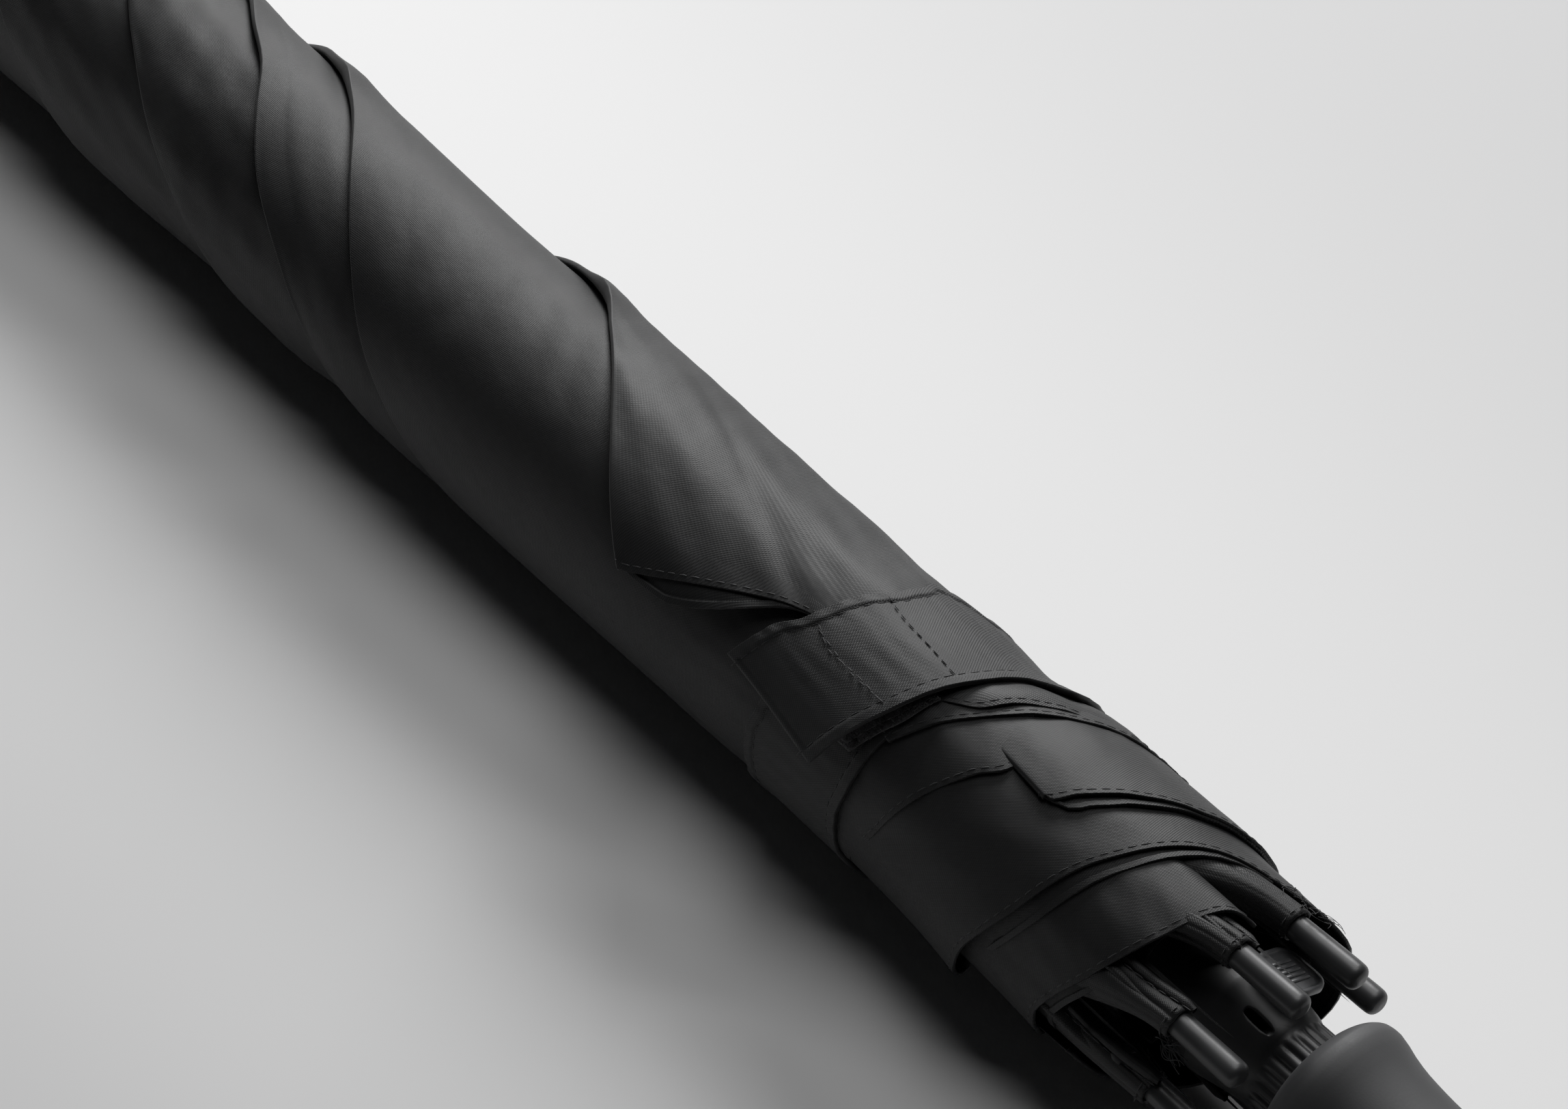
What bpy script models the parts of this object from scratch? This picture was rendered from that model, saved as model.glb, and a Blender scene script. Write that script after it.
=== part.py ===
# Windproof stick umbrella, furled and strapped, lying on its side.
# The shaft runs along X from the ferrule at -X to the handle at +X.
# Z is up and the furled cloth rests on Z = 0.
# Places along the shaft are measured from the ferrule's end and turned into X by along().
# Angles round the shaft start at the top and grow towards +Y.

import math

import bmesh
import bpy
import numpy as np
from mathutils import Matrix, Vector

# Driving dimensions
axis_height = 0.0305
shaft_radius = 0.006
shaft_wall = 0.0012
gap = 0.0003
cut_overrun = 0.004
rib_count = 8
first_rib_angle = math.radians(-5)
button_angle = math.radians(27)
open_rib_angle = math.radians(70)
turned_sides = 24
small_turned_sides = 12
bore_sides = 16

# Ribs
notch_pivot_radius = 0.010
outer_rib_length = 0.386
rib_radius = 0.00175
rib_tip_spread = 0.0235
eye_overhang = 0.002
eye_hole_radius = 0.0008
pivot_wire_radius = 0.0005
rib_sides = 8
pivot_wire_sides = 6
knuckle_place = 0.300
knuckle_length = 0.010
knuckle_wall = 0.0006
tip_cap_length = 0.028
tip_cap_radius = 0.003
tip_cap_mouth_radius = 0.0027
tip_cap_socket_depth = 0.016
tip_ring_width = 0.0016
tip_ring_radius = 0.0032

# Stretchers
stretcher_excess = 0.015
stretcher_height = 0.003
stretcher_width = 0.0032
fork_length = 0.150
fork_shoulder = 0.006
fork_inner_half_width = 0.0029
fork_plate = 0.0008
fork_overhang = 0.002

# Notch, ferrule and crown cap
notch_radius = 0.0135
notch_head = 0.007
notch_tail = 0.012
slot_clearance = 0.0003
groove_half_width = 0.0008
ferrule_length = 0.056
ferrule_radius = 0.0075
ferrule_neck_radius = 0.005
ferrule_tip_radius = 0.0034
ferrule_tip_length = 0.012
ferrule_shoulder_length = 0.010
ferrule_bore_depth = 0.026
crown_cap_length = 0.010
crown_cap_radius = 0.0145
crown_cap_wall = 0.0016

# Runner
runner_pivot_radius = 0.0125
bead_height = 0.0012
bead_length = 0.005
runner_crown_radius = 0.015
runner_crown_head = 0.007
runner_crown_tail = 0.005
runner_stem_radius = 0.0105
runner_stem_length = 0.034
bell_length = 0.012
bell_rim_width = 0.003
bell_radius = 0.0135
bell_wall = 0.0018
cone_length = 0.012
cone_radius = 0.0114
neck_radius = 0.0108
neck_step = 0.001
neck_length = 0.019
neck_wall_length = 0.0225
window_setback = 0.0075
window_angle = math.radians(-22)
window_length = 0.005
window_width = 0.0032
stop_collar_length = 0.005
stop_collar_radius = 0.0095

# Push button and its catch
button_setback = 0.0045
button_top_radius = 0.0176
button_plate = 0.0016
button_length = 0.013
button_width = 0.012
button_corner = 0.004
button_recess = 0.0005
button_rim = 0.0012
button_stem_length = 0.0090
button_stem_width = 0.0080
button_foot_radius = 0.0105
button_travel = 0.002
well_clearance = 0.00035
spring_wire_radius = 0.0003
spring_coil_radius = 0.0016
spring_turns = 4
spring_steps_each_turn = 10
spring_pocket_radius = 0.0024
spring_pocket_depth = 0.005
catch_plate_thickness = 0.0012
catch_plate_setback = 0.0025
catch_plate_half_width = 0.0086
catch_plate_steps = 12
catch_room = 0.003

# Handle
handle_length = 0.1865
handle_setback = 0.0075
handle_bell_radius = 0.0197
handle_rim_round = 0.006
handle_waist_radius = 0.0150
handle_waist_reach = 0.0535
handle_swell_radius = 0.0166
handle_swell_reach = 0.1265
handle_end_radius = 0.0158
cup_clearance = 0.0006
cup_chamfer = 0.0012
cup_floor_room = 0.003
core_wall = 0.0027
end_cap_length = 0.0095
end_cap_flat_radius = 0.0115

# Cloth
crown_seam = 0.0017
notch_room = 0.005
hem_setback = 0.038
canopy_radius = 0.031
canopy_crown_radius = 0.0155
canopy_strap_radius = 0.0293
canopy_hem_radius = 0.0295
canopy_swell_shares = ((0, 0), (0.25, 0.375), (0.5, 0.725), (1, 1))
fold_step = 0.0016
twist_pitch = 0.252
fold_phase_shares = (0.175, 0.400, 0.619, 0.767)
fold_edge_share = 0.006
fold_columns_each_turn = 18
canopy_rows = 43
seam_strip_width = 0.0026
seam_strip_thickness = 0.0005
strap_width = 0.030
strap_setback = 0.078
strap_tilt = 0.011
strap_thickness = 0.0007
strap_steps = 40
tab_steps = 13
patch_steps = 8
tab_start_angle = math.radians(-60)
tab_end_angle = math.radians(30)
patch_start_angle = math.radians(-50)
patch_end_angle = math.radians(0)
patch_thickness = 0.0005
patch_width = 0.026

# Sizes that follow from the driving ones
bead_radius = shaft_radius + bead_height
runner_bore = bead_radius + gap
crown_cap_start = ferrule_length + gap
canopy_start = crown_cap_start + crown_cap_length + crown_seam
notch_start = canopy_start + notch_room
notch_pivot_place = notch_start + notch_head
notch_end = notch_pivot_place + notch_tail
rib_length = knuckle_place + outer_rib_length
stretcher_length = knuckle_place + stretcher_excess
closed_rib_angle = math.asin((rib_tip_spread - notch_pivot_radius) / rib_length)
knuckle_radius = notch_pivot_radius + knuckle_place * math.sin(closed_rib_angle)
knuckle_centre_place = notch_pivot_place + knuckle_place * math.cos(closed_rib_angle)
closed_stretcher_angle = math.asin((knuckle_radius - runner_pivot_radius) / stretcher_length)
runner_pivot_place = knuckle_centre_place + stretcher_length * math.cos(closed_stretcher_angle)
open_knuckle_radius = notch_pivot_radius + knuckle_place * math.sin(open_rib_angle)
open_knuckle_place = notch_pivot_place + knuckle_place * math.cos(open_rib_angle)
open_stretcher_angle = math.asin((open_knuckle_radius - runner_pivot_radius) / stretcher_length)
open_runner_place = open_knuckle_place + stretcher_length * math.cos(open_stretcher_angle)
runner_travel = runner_pivot_place - open_runner_place
apex_setback = notch_pivot_radius / math.sin(open_rib_angle)
runner_crown_start = runner_pivot_place - runner_crown_head
runner_crown_end = runner_pivot_place + runner_crown_tail
runner_body_start = runner_crown_end + gap
bell_start = runner_body_start + runner_stem_length
bell_rim_start = bell_start + bell_length
bell_rim_end = bell_rim_start + bell_rim_width
cone_end = bell_rim_end + cone_length
runner_end = cone_end + neck_length
button_place = bell_rim_end + button_setback
window_place = bell_rim_end + window_setback
catch_plate_place = bell_rim_start - catch_plate_setback
handle_rim_start = cone_end + handle_setback
overall_length = handle_rim_start + handle_length
handle_end = overall_length - end_cap_length - gap
canopy_end = notch_pivot_place + rib_length * math.cos(closed_rib_angle) - hem_setback
strap_place = canopy_end - strap_setback
strap_radius = canopy_strap_radius + gap


def along(place):
    """X of a place that is measured from the ferrule's end."""
    return place - overall_length / 2


def turn_of(angle):
    """The turn about the shaft that brings +Z to an angle round it."""
    return Matrix.Rotation(-angle, 4, "X")


def on_axis(place):
    return Matrix.Translation((along(place), 0, axis_height))


def material(name, colour, roughness, metallic=0.0):
    made = bpy.data.materials.new(name)
    made.use_nodes = True
    shader = made.node_tree.nodes["Principled BSDF"]
    shader.inputs["Base Color"].default_value = (*colour, 1)
    shader.inputs["Roughness"].default_value = roughness
    shader.inputs["Metallic"].default_value = metallic
    return made


def add_empty(name, place, parent=None):
    """A guide on a joint's axis, at a place in the world or in its parent."""
    made = bpy.data.objects.new(name, None)
    made.empty_display_size = shaft_radius
    bpy.context.scene.collection.objects.link(made)
    made.parent = parent
    made.matrix_local = place
    return made


def add_mesh(name, mesh, finish, place=None, parent=None):
    """One object with its finish, at a place in the world or in its parent."""
    made = bpy.data.objects.new(name, mesh)
    bpy.context.scene.collection.objects.link(made)
    if finish and not mesh.materials:
        mesh.materials.append(finish)
    made.parent = parent
    made.matrix_local = place or Matrix()
    mesh.shade_smooth()
    mesh.set_sharp_from_angle(angle=math.radians(35))
    return made


def mesh_of(name, shape):
    """The shape as mesh data with its faces pointing out."""
    bmesh.ops.recalc_face_normals(shape, faces=shape.faces)
    made = bpy.data.meshes.new(name)
    shape.to_mesh(made)
    shape.free()
    return made


def turned_mesh(name, outline, sides=turned_sides, closed=True):
    """A solid turned about X: a closed outline of (x, radius), or an open one whose ends lie on the axis."""
    shape = bmesh.new()
    corners = [shape.verts.new((x, 0, radius)) for x, radius in outline]
    pairs = list(zip(corners, corners[1:]))
    if closed:
        pairs.append((corners[-1], corners[0]))
    edges = [shape.edges.new(pair) for pair in pairs]
    bmesh.ops.spin(
        shape,
        geom=edges,
        axis=(1, 0, 0),
        cent=(0, 0, 0),
        angle=math.tau,
        steps=sides,
        use_merge=True,
    )
    bmesh.ops.remove_doubles(shape, verts=shape.verts, dist=gap / 100)
    return mesh_of(name, shape)


def turned(name, outline, finish, parent=None, sides=turned_sides, closed=True):
    """A turned solid whose outline gives places along the shaft."""
    points = [(along(place), radius) for place, radius in outline]
    mesh = turned_mesh(name, points, sides, closed)
    return add_mesh(name, mesh, finish, Matrix.Translation((0, 0, axis_height)), parent)


def prism_mesh(name, outline, low, high):
    """An outline in X and Y drawn out from one height to another."""
    shape = bmesh.new()
    face = shape.faces.new([shape.verts.new((x, y, low)) for x, y in outline])
    lifted = bmesh.ops.extrude_face_region(shape, geom=[face])
    moved = [part for part in lifted["geom"] if isinstance(part, bmesh.types.BMVert)]
    bmesh.ops.translate(shape, verts=moved, vec=(0, 0, high - low))
    return mesh_of(name, shape)


def skin_rings(shape, rings, closed=False):
    """Faces between neighbouring rings of points, with an end face at each end unless they close."""
    pairs = list(zip(rings, rings[1:]))
    if closed:
        pairs.append((rings[-1], rings[0]))
    for low, high in pairs:
        for i in range(len(low)):
            j = (i + 1) % len(low)
            shape.faces.new((low[i], low[j], high[j], high[i]))
    if not closed:
        shape.faces.new(list(reversed(rings[0])))
        shape.faces.new(rings[-1])


def tapered_mesh(name, sections):
    """Outlines in X and Y, one above the other, skinned into one solid."""
    shape = bmesh.new()
    rings = [[shape.verts.new((x, y, height)) for x, y in outline] for height, outline in sections]
    skin_rings(shape, rings)
    return mesh_of(name, shape)


def rod_mesh(name, start, end, radius, sides):
    """A round rod along X."""
    shape = bmesh.new()
    lay = Matrix.Translation(((start + end) / 2, 0, 0)) @ Matrix.Rotation(math.pi / 2, 4, "Y")
    bmesh.ops.create_cone(
        shape,
        cap_ends=True,
        segments=sides,
        radius1=radius,
        radius2=radius,
        depth=end - start,
        matrix=lay @ Matrix.Rotation(math.pi / sides, 4, "Z"),
    )
    return mesh_of(name, shape)


def box_mesh(name, low, high):
    shape = bmesh.new()
    size = [b - a for a, b in zip(low, high)]
    centre = [(a + b) / 2 for a, b in zip(low, high)]
    bmesh.ops.create_cube(
        shape, size=1, matrix=Matrix.Translation(centre) @ Matrix.Diagonal((*size, 1))
    )
    return mesh_of(name, shape)


def round_box(length, width, corner, steps=3):
    """The outline of a rectangle with round corners."""
    points = []
    for quarter in range(4):
        sx, sy = ((1, 1), (-1, 1), (-1, -1), (1, -1))[quarter]
        for step in range(steps + 1):
            angle = (quarter + step / steps) * math.pi / 2
            x = sx * (length / 2 - corner) + corner * math.cos(angle)
            y = sy * (width / 2 - corner) + corner * math.sin(angle)
            points.append((x, y))
    return points


def cutter(name, mesh, place, parent=None):
    made = add_mesh(name, mesh, None, place, parent)
    made.hide_render = True
    made.display_type = "WIRE"
    return made


def cut(target, *tools):
    for tool in tools:
        step = target.modifiers.new(tool.name, "BOOLEAN")
        step.operation = "DIFFERENCE"
        step.solver = "EXACT"
        step.object = tool


def rib_angles():
    return [first_rib_angle + math.tau * i / rib_count for i in range(rib_count)]


# Shaft, ferrule and crown
def bead(start):
    """The outline of a raised bead that the runner's catch drops behind."""
    end = start + bead_length
    return [
        (start, shaft_radius),
        (start + bead_height, bead_radius),
        (end - bead_height, bead_radius),
        (end, shaft_radius),
    ]


def make_shaft(finish):
    """A tube with one bead that holds the runner closed and one that holds it open."""
    start = ferrule_length - ferrule_bore_depth + gap
    end = handle_end
    inner = shaft_radius - shaft_wall
    open_bead = catch_plate_place - runner_travel + 2 * catch_plate_thickness
    closed_bead = catch_plate_place - 2 * catch_plate_thickness - bead_length
    outside = [(start, shaft_radius), *bead(open_bead), *bead(closed_bead), (end, shaft_radius)]
    turned("shaft", [*outside, (end, inner), (start, inner)], finish)


def make_ferrule(finish):
    bore = shaft_radius + gap
    bottom = ferrule_length - ferrule_bore_depth
    shoulder = bottom + gap
    outline = [
        (0, 0),
        (0, ferrule_tip_radius - cup_clearance),
        (cup_clearance, ferrule_tip_radius),
        (ferrule_tip_length, ferrule_neck_radius),
        (shoulder - ferrule_shoulder_length, ferrule_neck_radius),
        (shoulder, ferrule_radius),
        (ferrule_length, ferrule_radius),
        (ferrule_length, bore),
        (bottom, bore),
        (bottom, 0),
    ]
    turned("ferrule", outline, finish, closed=False)


def make_crown_cap(finish):
    start = crown_cap_start
    end = start + crown_cap_length
    bore = shaft_radius + gap
    inner = crown_cap_radius - crown_cap_wall
    outline = [
        (start, bore),
        (start, ferrule_radius),
        (start + crown_cap_length / 3, ferrule_radius + crown_cap_wall),
        (end - crown_cap_wall, crown_cap_radius),
        (end, crown_cap_radius),
        (end, inner),
        (end - crown_cap_wall, bore + crown_cap_wall),
        (end - crown_cap_wall, bore),
    ]
    turned("crown_cap", outline, finish)


def slot_cutters(name, pivot, width, start, end, depth, outer):
    """One slot at each rib, from start to end along X from the pivot, open to the outside."""
    place, radius = pivot
    made = []
    for i, angle in enumerate(rib_angles()):
        low = (start, -width / 2, radius - depth)
        high = (end, width / 2, outer + cut_overrun)
        mesh = box_mesh(f"{name}_{i + 1}", low, high)
        made.append(cutter(f"{name}_{i + 1}", mesh, on_axis(place) @ turn_of(angle)))
    return made


def groove_cutter(name, pivot_place, pivot_radius, outer):
    """The groove that holds a ring wire."""
    floor = pivot_radius - pivot_wire_radius - gap
    outline = [
        (pivot_place - groove_half_width, floor),
        (pivot_place - groove_half_width, outer + cut_overrun),
        (pivot_place + groove_half_width, outer + cut_overrun),
        (pivot_place + groove_half_width, floor),
    ]
    points = [(along(place), radius) for place, radius in outline]
    return cutter(name, turned_mesh(name, points), Matrix.Translation((0, 0, axis_height)))


def make_notch(finish):
    bore = shaft_radius + gap
    outline = [
        (notch_start, bore),
        (notch_start, notch_radius - knuckle_wall),
        (notch_start + knuckle_wall, notch_radius),
        (notch_end - knuckle_wall, notch_radius),
        (notch_end, notch_radius - knuckle_wall),
        (notch_end, bore),
    ]
    notch = turned("notch", outline, finish)
    reach = math.hypot(eye_overhang, rib_radius) + slot_clearance
    width = 2 * (rib_radius + slot_clearance)
    pivot = (notch_pivot_place, notch_pivot_radius)
    end = notch_end - notch_pivot_place + cut_overrun
    cut(notch, *slot_cutters("notch_slot", pivot, width, -reach, end, reach, notch_radius))
    cut(notch, groove_cutter("notch_groove", notch_pivot_place, notch_pivot_radius, notch_radius))


def make_pivot_ring(name, radius, finish, place, parent=None):
    """An eight-sided ring of wire, straight where it passes through each eye."""
    corner = radius / math.cos(math.pi / rib_count)
    spread = pivot_wire_radius / math.cos(math.pi / rib_count)
    shape = bmesh.new()
    rings = []
    for i in range(rib_count):
        middle = first_rib_angle + math.tau * (i + 0.5) / rib_count
        out = Vector((0, math.sin(middle), math.cos(middle)))
        ring = []
        for step in range(pivot_wire_sides):
            turn = math.tau * step / pivot_wire_sides
            point = out * (corner + spread * math.cos(turn))
            point.x = pivot_wire_radius * math.sin(turn)
            ring.append(shape.verts.new(point))
        rings.append(ring)
    skin_rings(shape, rings, closed=True)
    add_mesh(name, mesh_of(name, shape), finish, place, parent)


# Ribs with their knuckles and tips
def make_ribs(rib_finish, knuckle_finish, tip_finish):
    socket = tip_cap_length - tip_cap_socket_depth
    rod_end = rib_length - socket - gap
    rod = rod_mesh("rib", -eye_overhang, rod_end, rib_radius, rib_sides)
    hole = rod_mesh("eye_hole", -cut_overrun, cut_overrun, eye_hole_radius, rib_sides)
    knuckle = turned_mesh("rib_knuckle", knuckle_outline(), small_turned_sides)
    tip = turned_mesh("rib_tip", tip_outline(), small_turned_sides, closed=False)
    for i, angle in enumerate(rib_angles()):
        place = (
            on_axis(notch_pivot_place)
            @ turn_of(angle)
            @ Matrix.Translation((0, 0, notch_pivot_radius))
            @ Matrix.Rotation(-closed_rib_angle, 4, "Y")
        )
        pivot = add_empty(f"rib_pivot_{i + 1}", place)
        rib = add_mesh(f"rib_{i + 1}", rod, rib_finish, parent=pivot)
        across = Matrix.Rotation(math.pi / 2, 4, "Z")
        cut(rib, cutter(f"rib_eye_{i + 1}", hole, across, pivot))
        add_mesh(f"rib_knuckle_{i + 1}", knuckle, knuckle_finish, parent=pivot)
        add_mesh(f"rib_tip_{i + 1}", tip, tip_finish, parent=pivot)


def knuckle_outline():
    inner = rib_radius + gap
    outer = inner + knuckle_wall
    start, end = knuckle_place - knuckle_length / 2, knuckle_place + knuckle_length / 2
    return [(start, inner), (start, outer), (end, outer), (end, inner)]


def tip_outline():
    """A hollow cap: a mouth with a small ring, a slight flare and a domed end."""
    bore = rib_radius + gap
    mouth = rib_length - tip_cap_length
    floor = mouth + tip_cap_socket_depth
    ring_end = mouth + 2 * tip_ring_width
    dome = tip_cap_radius / 2
    return [
        (floor, 0),
        (floor, bore),
        (mouth, bore),
        (mouth, tip_cap_mouth_radius),
        (mouth + tip_ring_width, tip_ring_radius),
        (ring_end, tip_ring_radius),
        (ring_end, tip_cap_mouth_radius),
        (rib_length - 2 * dome, tip_cap_radius),
        (rib_length - dome, tip_cap_radius),
        (rib_length - dome / 3, tip_cap_radius - dome / 2),
        (rib_length, dome),
        (rib_length, 0),
    ]


def make_seam_strips(finish):
    """The narrow strip of canopy cloth that lies along the outside of each rib."""
    low = rib_radius + gap + knuckle_wall + gap
    start = notch_radius + apex_setback
    end = apex_setback + rib_length - tip_cap_length - gap
    strip = box_mesh(
        "gore",
        (start, -seam_strip_width / 2, low),
        (end, seam_strip_width / 2, low + seam_strip_thickness),
    )
    for i, angle in enumerate(rib_angles()):
        place = (
            on_axis(notch_pivot_place)
            @ turn_of(angle)
            @ Matrix.Translation((0, 0, notch_pivot_radius))
            @ Matrix.Rotation(-closed_rib_angle, 4, "Y")
            @ Matrix.Translation((-apex_setback, 0, 0))
        )
        hinge = add_empty(f"gore_hinge_{i + 1}", place)
        add_mesh(f"gore_{i + 1}", strip, finish, parent=hinge)


# Stretchers
def stretcher_outline():
    """A rod that widens into a fork, whose two plates pass on either side of the rib."""
    thin = stretcher_width / 2
    inner = fork_inner_half_width
    outer = inner + fork_plate
    fork = stretcher_length - fork_length
    end = stretcher_length + fork_overhang
    side = [
        (-eye_overhang, -thin),
        (fork - 2 * fork_shoulder, -thin),
        (fork - fork_shoulder, -outer),
        (end, -outer),
        (end, -inner),
        (fork, -inner),
    ]
    return side + [(x, -y) for x, y in reversed(side)]


def make_stretchers(finish, runner):
    plate = prism_mesh("stretcher", stretcher_outline(), -stretcher_height / 2, stretcher_height / 2)
    hole = rod_mesh("stretcher_hole", -cut_overrun, cut_overrun, eye_hole_radius, rib_sides)
    for i, angle in enumerate(rib_angles()):
        place = (
            on_axis(runner_pivot_place)
            @ turn_of(angle)
            @ Matrix.Translation((0, 0, runner_pivot_radius))
            @ Matrix.Rotation(math.pi + closed_stretcher_angle, 4, "Y")
        )
        pivot = add_empty(f"stretcher_pivot_{i + 1}", in_runner(place), runner)
        stretcher = add_mesh(f"stretcher_{i + 1}", plate, finish, parent=pivot)
        across = Matrix.Rotation(math.pi / 2, 4, "Z")
        cut(stretcher, cutter(f"stretcher_eye_{i + 1}", hole, across, pivot))


# Runner with its push button and catch
def from_runner(outline):
    return [(place - runner_pivot_place, radius) for place, radius in outline]


def in_runner(place):
    """A place in the world as the runner's own frame gives it."""
    return on_axis(runner_pivot_place).inverted() @ place


def make_runner_crown(finish, runner):
    outline = [
        (runner_crown_start, runner_bore),
        (runner_crown_start, runner_crown_radius - knuckle_wall),
        (runner_crown_start + knuckle_wall, runner_crown_radius),
        (runner_crown_end - knuckle_wall, runner_crown_radius),
        (runner_crown_end, runner_crown_radius - knuckle_wall),
        (runner_crown_end, runner_bore),
    ]
    mesh = turned_mesh("runner_crown", from_runner(outline))
    crown = add_mesh("runner_crown", mesh, finish, parent=runner)
    reach = math.hypot(eye_overhang, stretcher_height / 2) + slot_clearance
    width = stretcher_width + 2 * slot_clearance
    pivot = (runner_pivot_place, runner_pivot_radius)
    start = -runner_crown_head - cut_overrun
    cut(crown, *slot_cutters("runner_slot", pivot, width, start, reach, reach, runner_crown_radius))
    groove = groove_cutter(
        "runner_groove", runner_pivot_place, runner_pivot_radius, runner_crown_radius
    )
    cut(crown, groove)


def button_outlines(spare):
    """The button's stem at its foot and under its plate, with room to spare round it."""
    foot = round_box(button_stem_length + spare, button_stem_width + spare, button_corner / 2)
    length, width = button_length - 2 * button_rim, button_width - 2 * button_rim
    return foot, round_box(length + spare, width + spare, button_corner / 2 + gap)


def make_runner_body(finish, runner):
    """The bell that the fingers push, hollow round the catch, with a neck that seats in the handle."""
    inner_cone = cone_radius - bell_wall
    outline = [
        (runner_body_start, runner_bore),
        (runner_body_start, runner_stem_radius),
        (bell_start, runner_stem_radius),
        (bell_rim_start, bell_radius),
        (bell_rim_end, bell_radius),
        (cone_end, cone_radius),
        (cone_end + neck_step, neck_radius),
        (runner_end - neck_step, neck_radius),
        (runner_end, neck_radius - neck_step),
        (runner_end, runner_bore),
        (runner_end - neck_wall_length, runner_bore),
        (runner_end - neck_wall_length, inner_cone),
        (bell_rim_end, bell_radius - bell_wall),
        (bell_rim_start, bell_radius - bell_wall),
        (catch_plate_place - catch_room, runner_stem_radius),
        (catch_plate_place - catch_room, runner_bore),
    ]
    mesh = turned_mesh("runner_body", from_runner(outline))
    body = add_mesh("runner_body", mesh, finish, parent=runner)
    foot, neck = button_outlines(2 * well_clearance)
    under = button_top_radius - button_plate
    sections = [
        (button_foot_radius - button_travel - gap, foot),
        (under - 2 * button_travel, foot),
        (under - gap - button_travel, neck),
        (button_top_radius + cut_overrun, neck),
    ]
    well = tapered_mesh("button_well", sections)
    window = prism_mesh(
        "runner_window",
        round_box(window_length, window_width, (window_width - gap) / 2),
        runner_bore + gap,
        bell_radius + cut_overrun,
    )
    button_turn = on_axis(button_place) @ turn_of(button_angle)
    window_turn = on_axis(window_place) @ turn_of(window_angle)
    cut(body, cutter("button_well", well, button_turn))
    cut(body, cutter("runner_window", window, window_turn))


def make_button(finish, spring_finish, catch_finish, runner):
    """A plate with a raised rim on a stem that tapers down into the runner, over a coil spring."""
    home = on_axis(button_place) @ turn_of(button_angle)
    slide = add_empty("button_slide", in_runner(home), runner)
    under = button_top_radius - button_plate
    foot, neck = button_outlines(0)
    plate = round_box(button_length, button_width, button_corner)
    field = round_box(
        button_length - 2 * button_rim, button_width - 2 * button_rim, button_corner - button_rim
    )
    sections = [
        (button_foot_radius, foot),
        (under - button_travel, foot),
        (under - gap, neck),
        (under, plate),
        (button_top_radius, plate),
        (button_top_radius, field),
        (button_top_radius - button_recess, field),
    ]
    button = add_mesh("push_button", tapered_mesh("push_button", sections), finish, parent=slide)
    pocket = turned_mesh(
        "spring_pocket",
        [
            (button_foot_radius - cut_overrun, 0),
            (button_foot_radius - cut_overrun, spring_pocket_radius),
            (button_foot_radius + spring_pocket_depth, spring_pocket_radius),
            (button_foot_radius + spring_pocket_depth, 0),
        ],
        small_turned_sides,
        closed=False,
    )
    upright = Matrix.Rotation(-math.pi / 2, 4, "Y")
    cut(button, cutter("spring_pocket", pocket, upright, slide))
    make_button_spring(spring_finish, slide)
    make_catch_plate(catch_finish, slide)


def make_button_spring(finish, slide):
    """A coil that stands on the runner's neck and pushes the button out."""
    low = button_foot_radius - button_travel - gap + spring_wire_radius
    high = button_foot_radius + spring_pocket_depth - gap - spring_wire_radius
    steps = spring_turns * spring_steps_each_turn
    path = bpy.data.curves.new("button_spring", "CURVE")
    path.dimensions = "3D"
    path.bevel_depth = spring_wire_radius
    path.bevel_resolution = 1
    path.use_fill_caps = True
    line = path.splines.new("POLY")
    line.points.add(steps)
    for i, point in enumerate(line.points):
        turn = math.tau * spring_turns * i / steps
        rise = low + (high - low) * i / steps
        x, y = spring_coil_radius * math.cos(turn), spring_coil_radius * math.sin(turn)
        point.co = (x, y, rise, 1)
    path.materials.append(finish)
    spring = bpy.data.objects.new("button_spring", path)
    bpy.context.scene.collection.objects.link(spring)
    spring.parent = slide


def make_catch_plate(finish, slide):
    """The plate round the shaft that the button moves: its far lip drops behind a bead."""
    place = catch_plate_place - button_place
    top = button_foot_radius - gap
    bottom = -runner_bore - bead_height
    steps = catch_plate_steps
    hole, edge = [], []
    for raised in (button_travel, 0):
        for step in range(steps + 1):
            angle = math.pi * step / steps + (0 if raised else math.pi)
            y, z = runner_bore * math.cos(angle), runner_bore * math.sin(angle)
            reach = catch_plate_half_width / runner_bore
            hole.append((y, z + raised))
            edge.append((y * reach, min(max((z + raised) * reach, bottom), top)))
    shape = bmesh.new()
    rings = []
    for outline, x in ((hole, 0), (edge, 0), (edge, catch_plate_thickness), (hole, catch_plate_thickness)):
        rings.append([shape.verts.new((x, y, z)) for y, z in outline])
    skin_rings(shape, rings, closed=True)
    mesh = mesh_of("catch_plate", shape)
    add_mesh("catch_plate", mesh, finish, Matrix.Translation((place, 0, 0)), slide)


def make_stop_collar(finish):
    """The collar that the open runner stops against."""
    end = runner_crown_start - runner_travel - gap
    start = end - stop_collar_length
    bore = shaft_radius + gap
    outline = [
        (start, bore),
        (start, stop_collar_radius - gap),
        (start + gap, stop_collar_radius),
        (end - gap, stop_collar_radius),
        (end, stop_collar_radius - gap),
        (end, bore),
    ]
    turned("upper_stop_collar", outline, finish)


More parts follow.
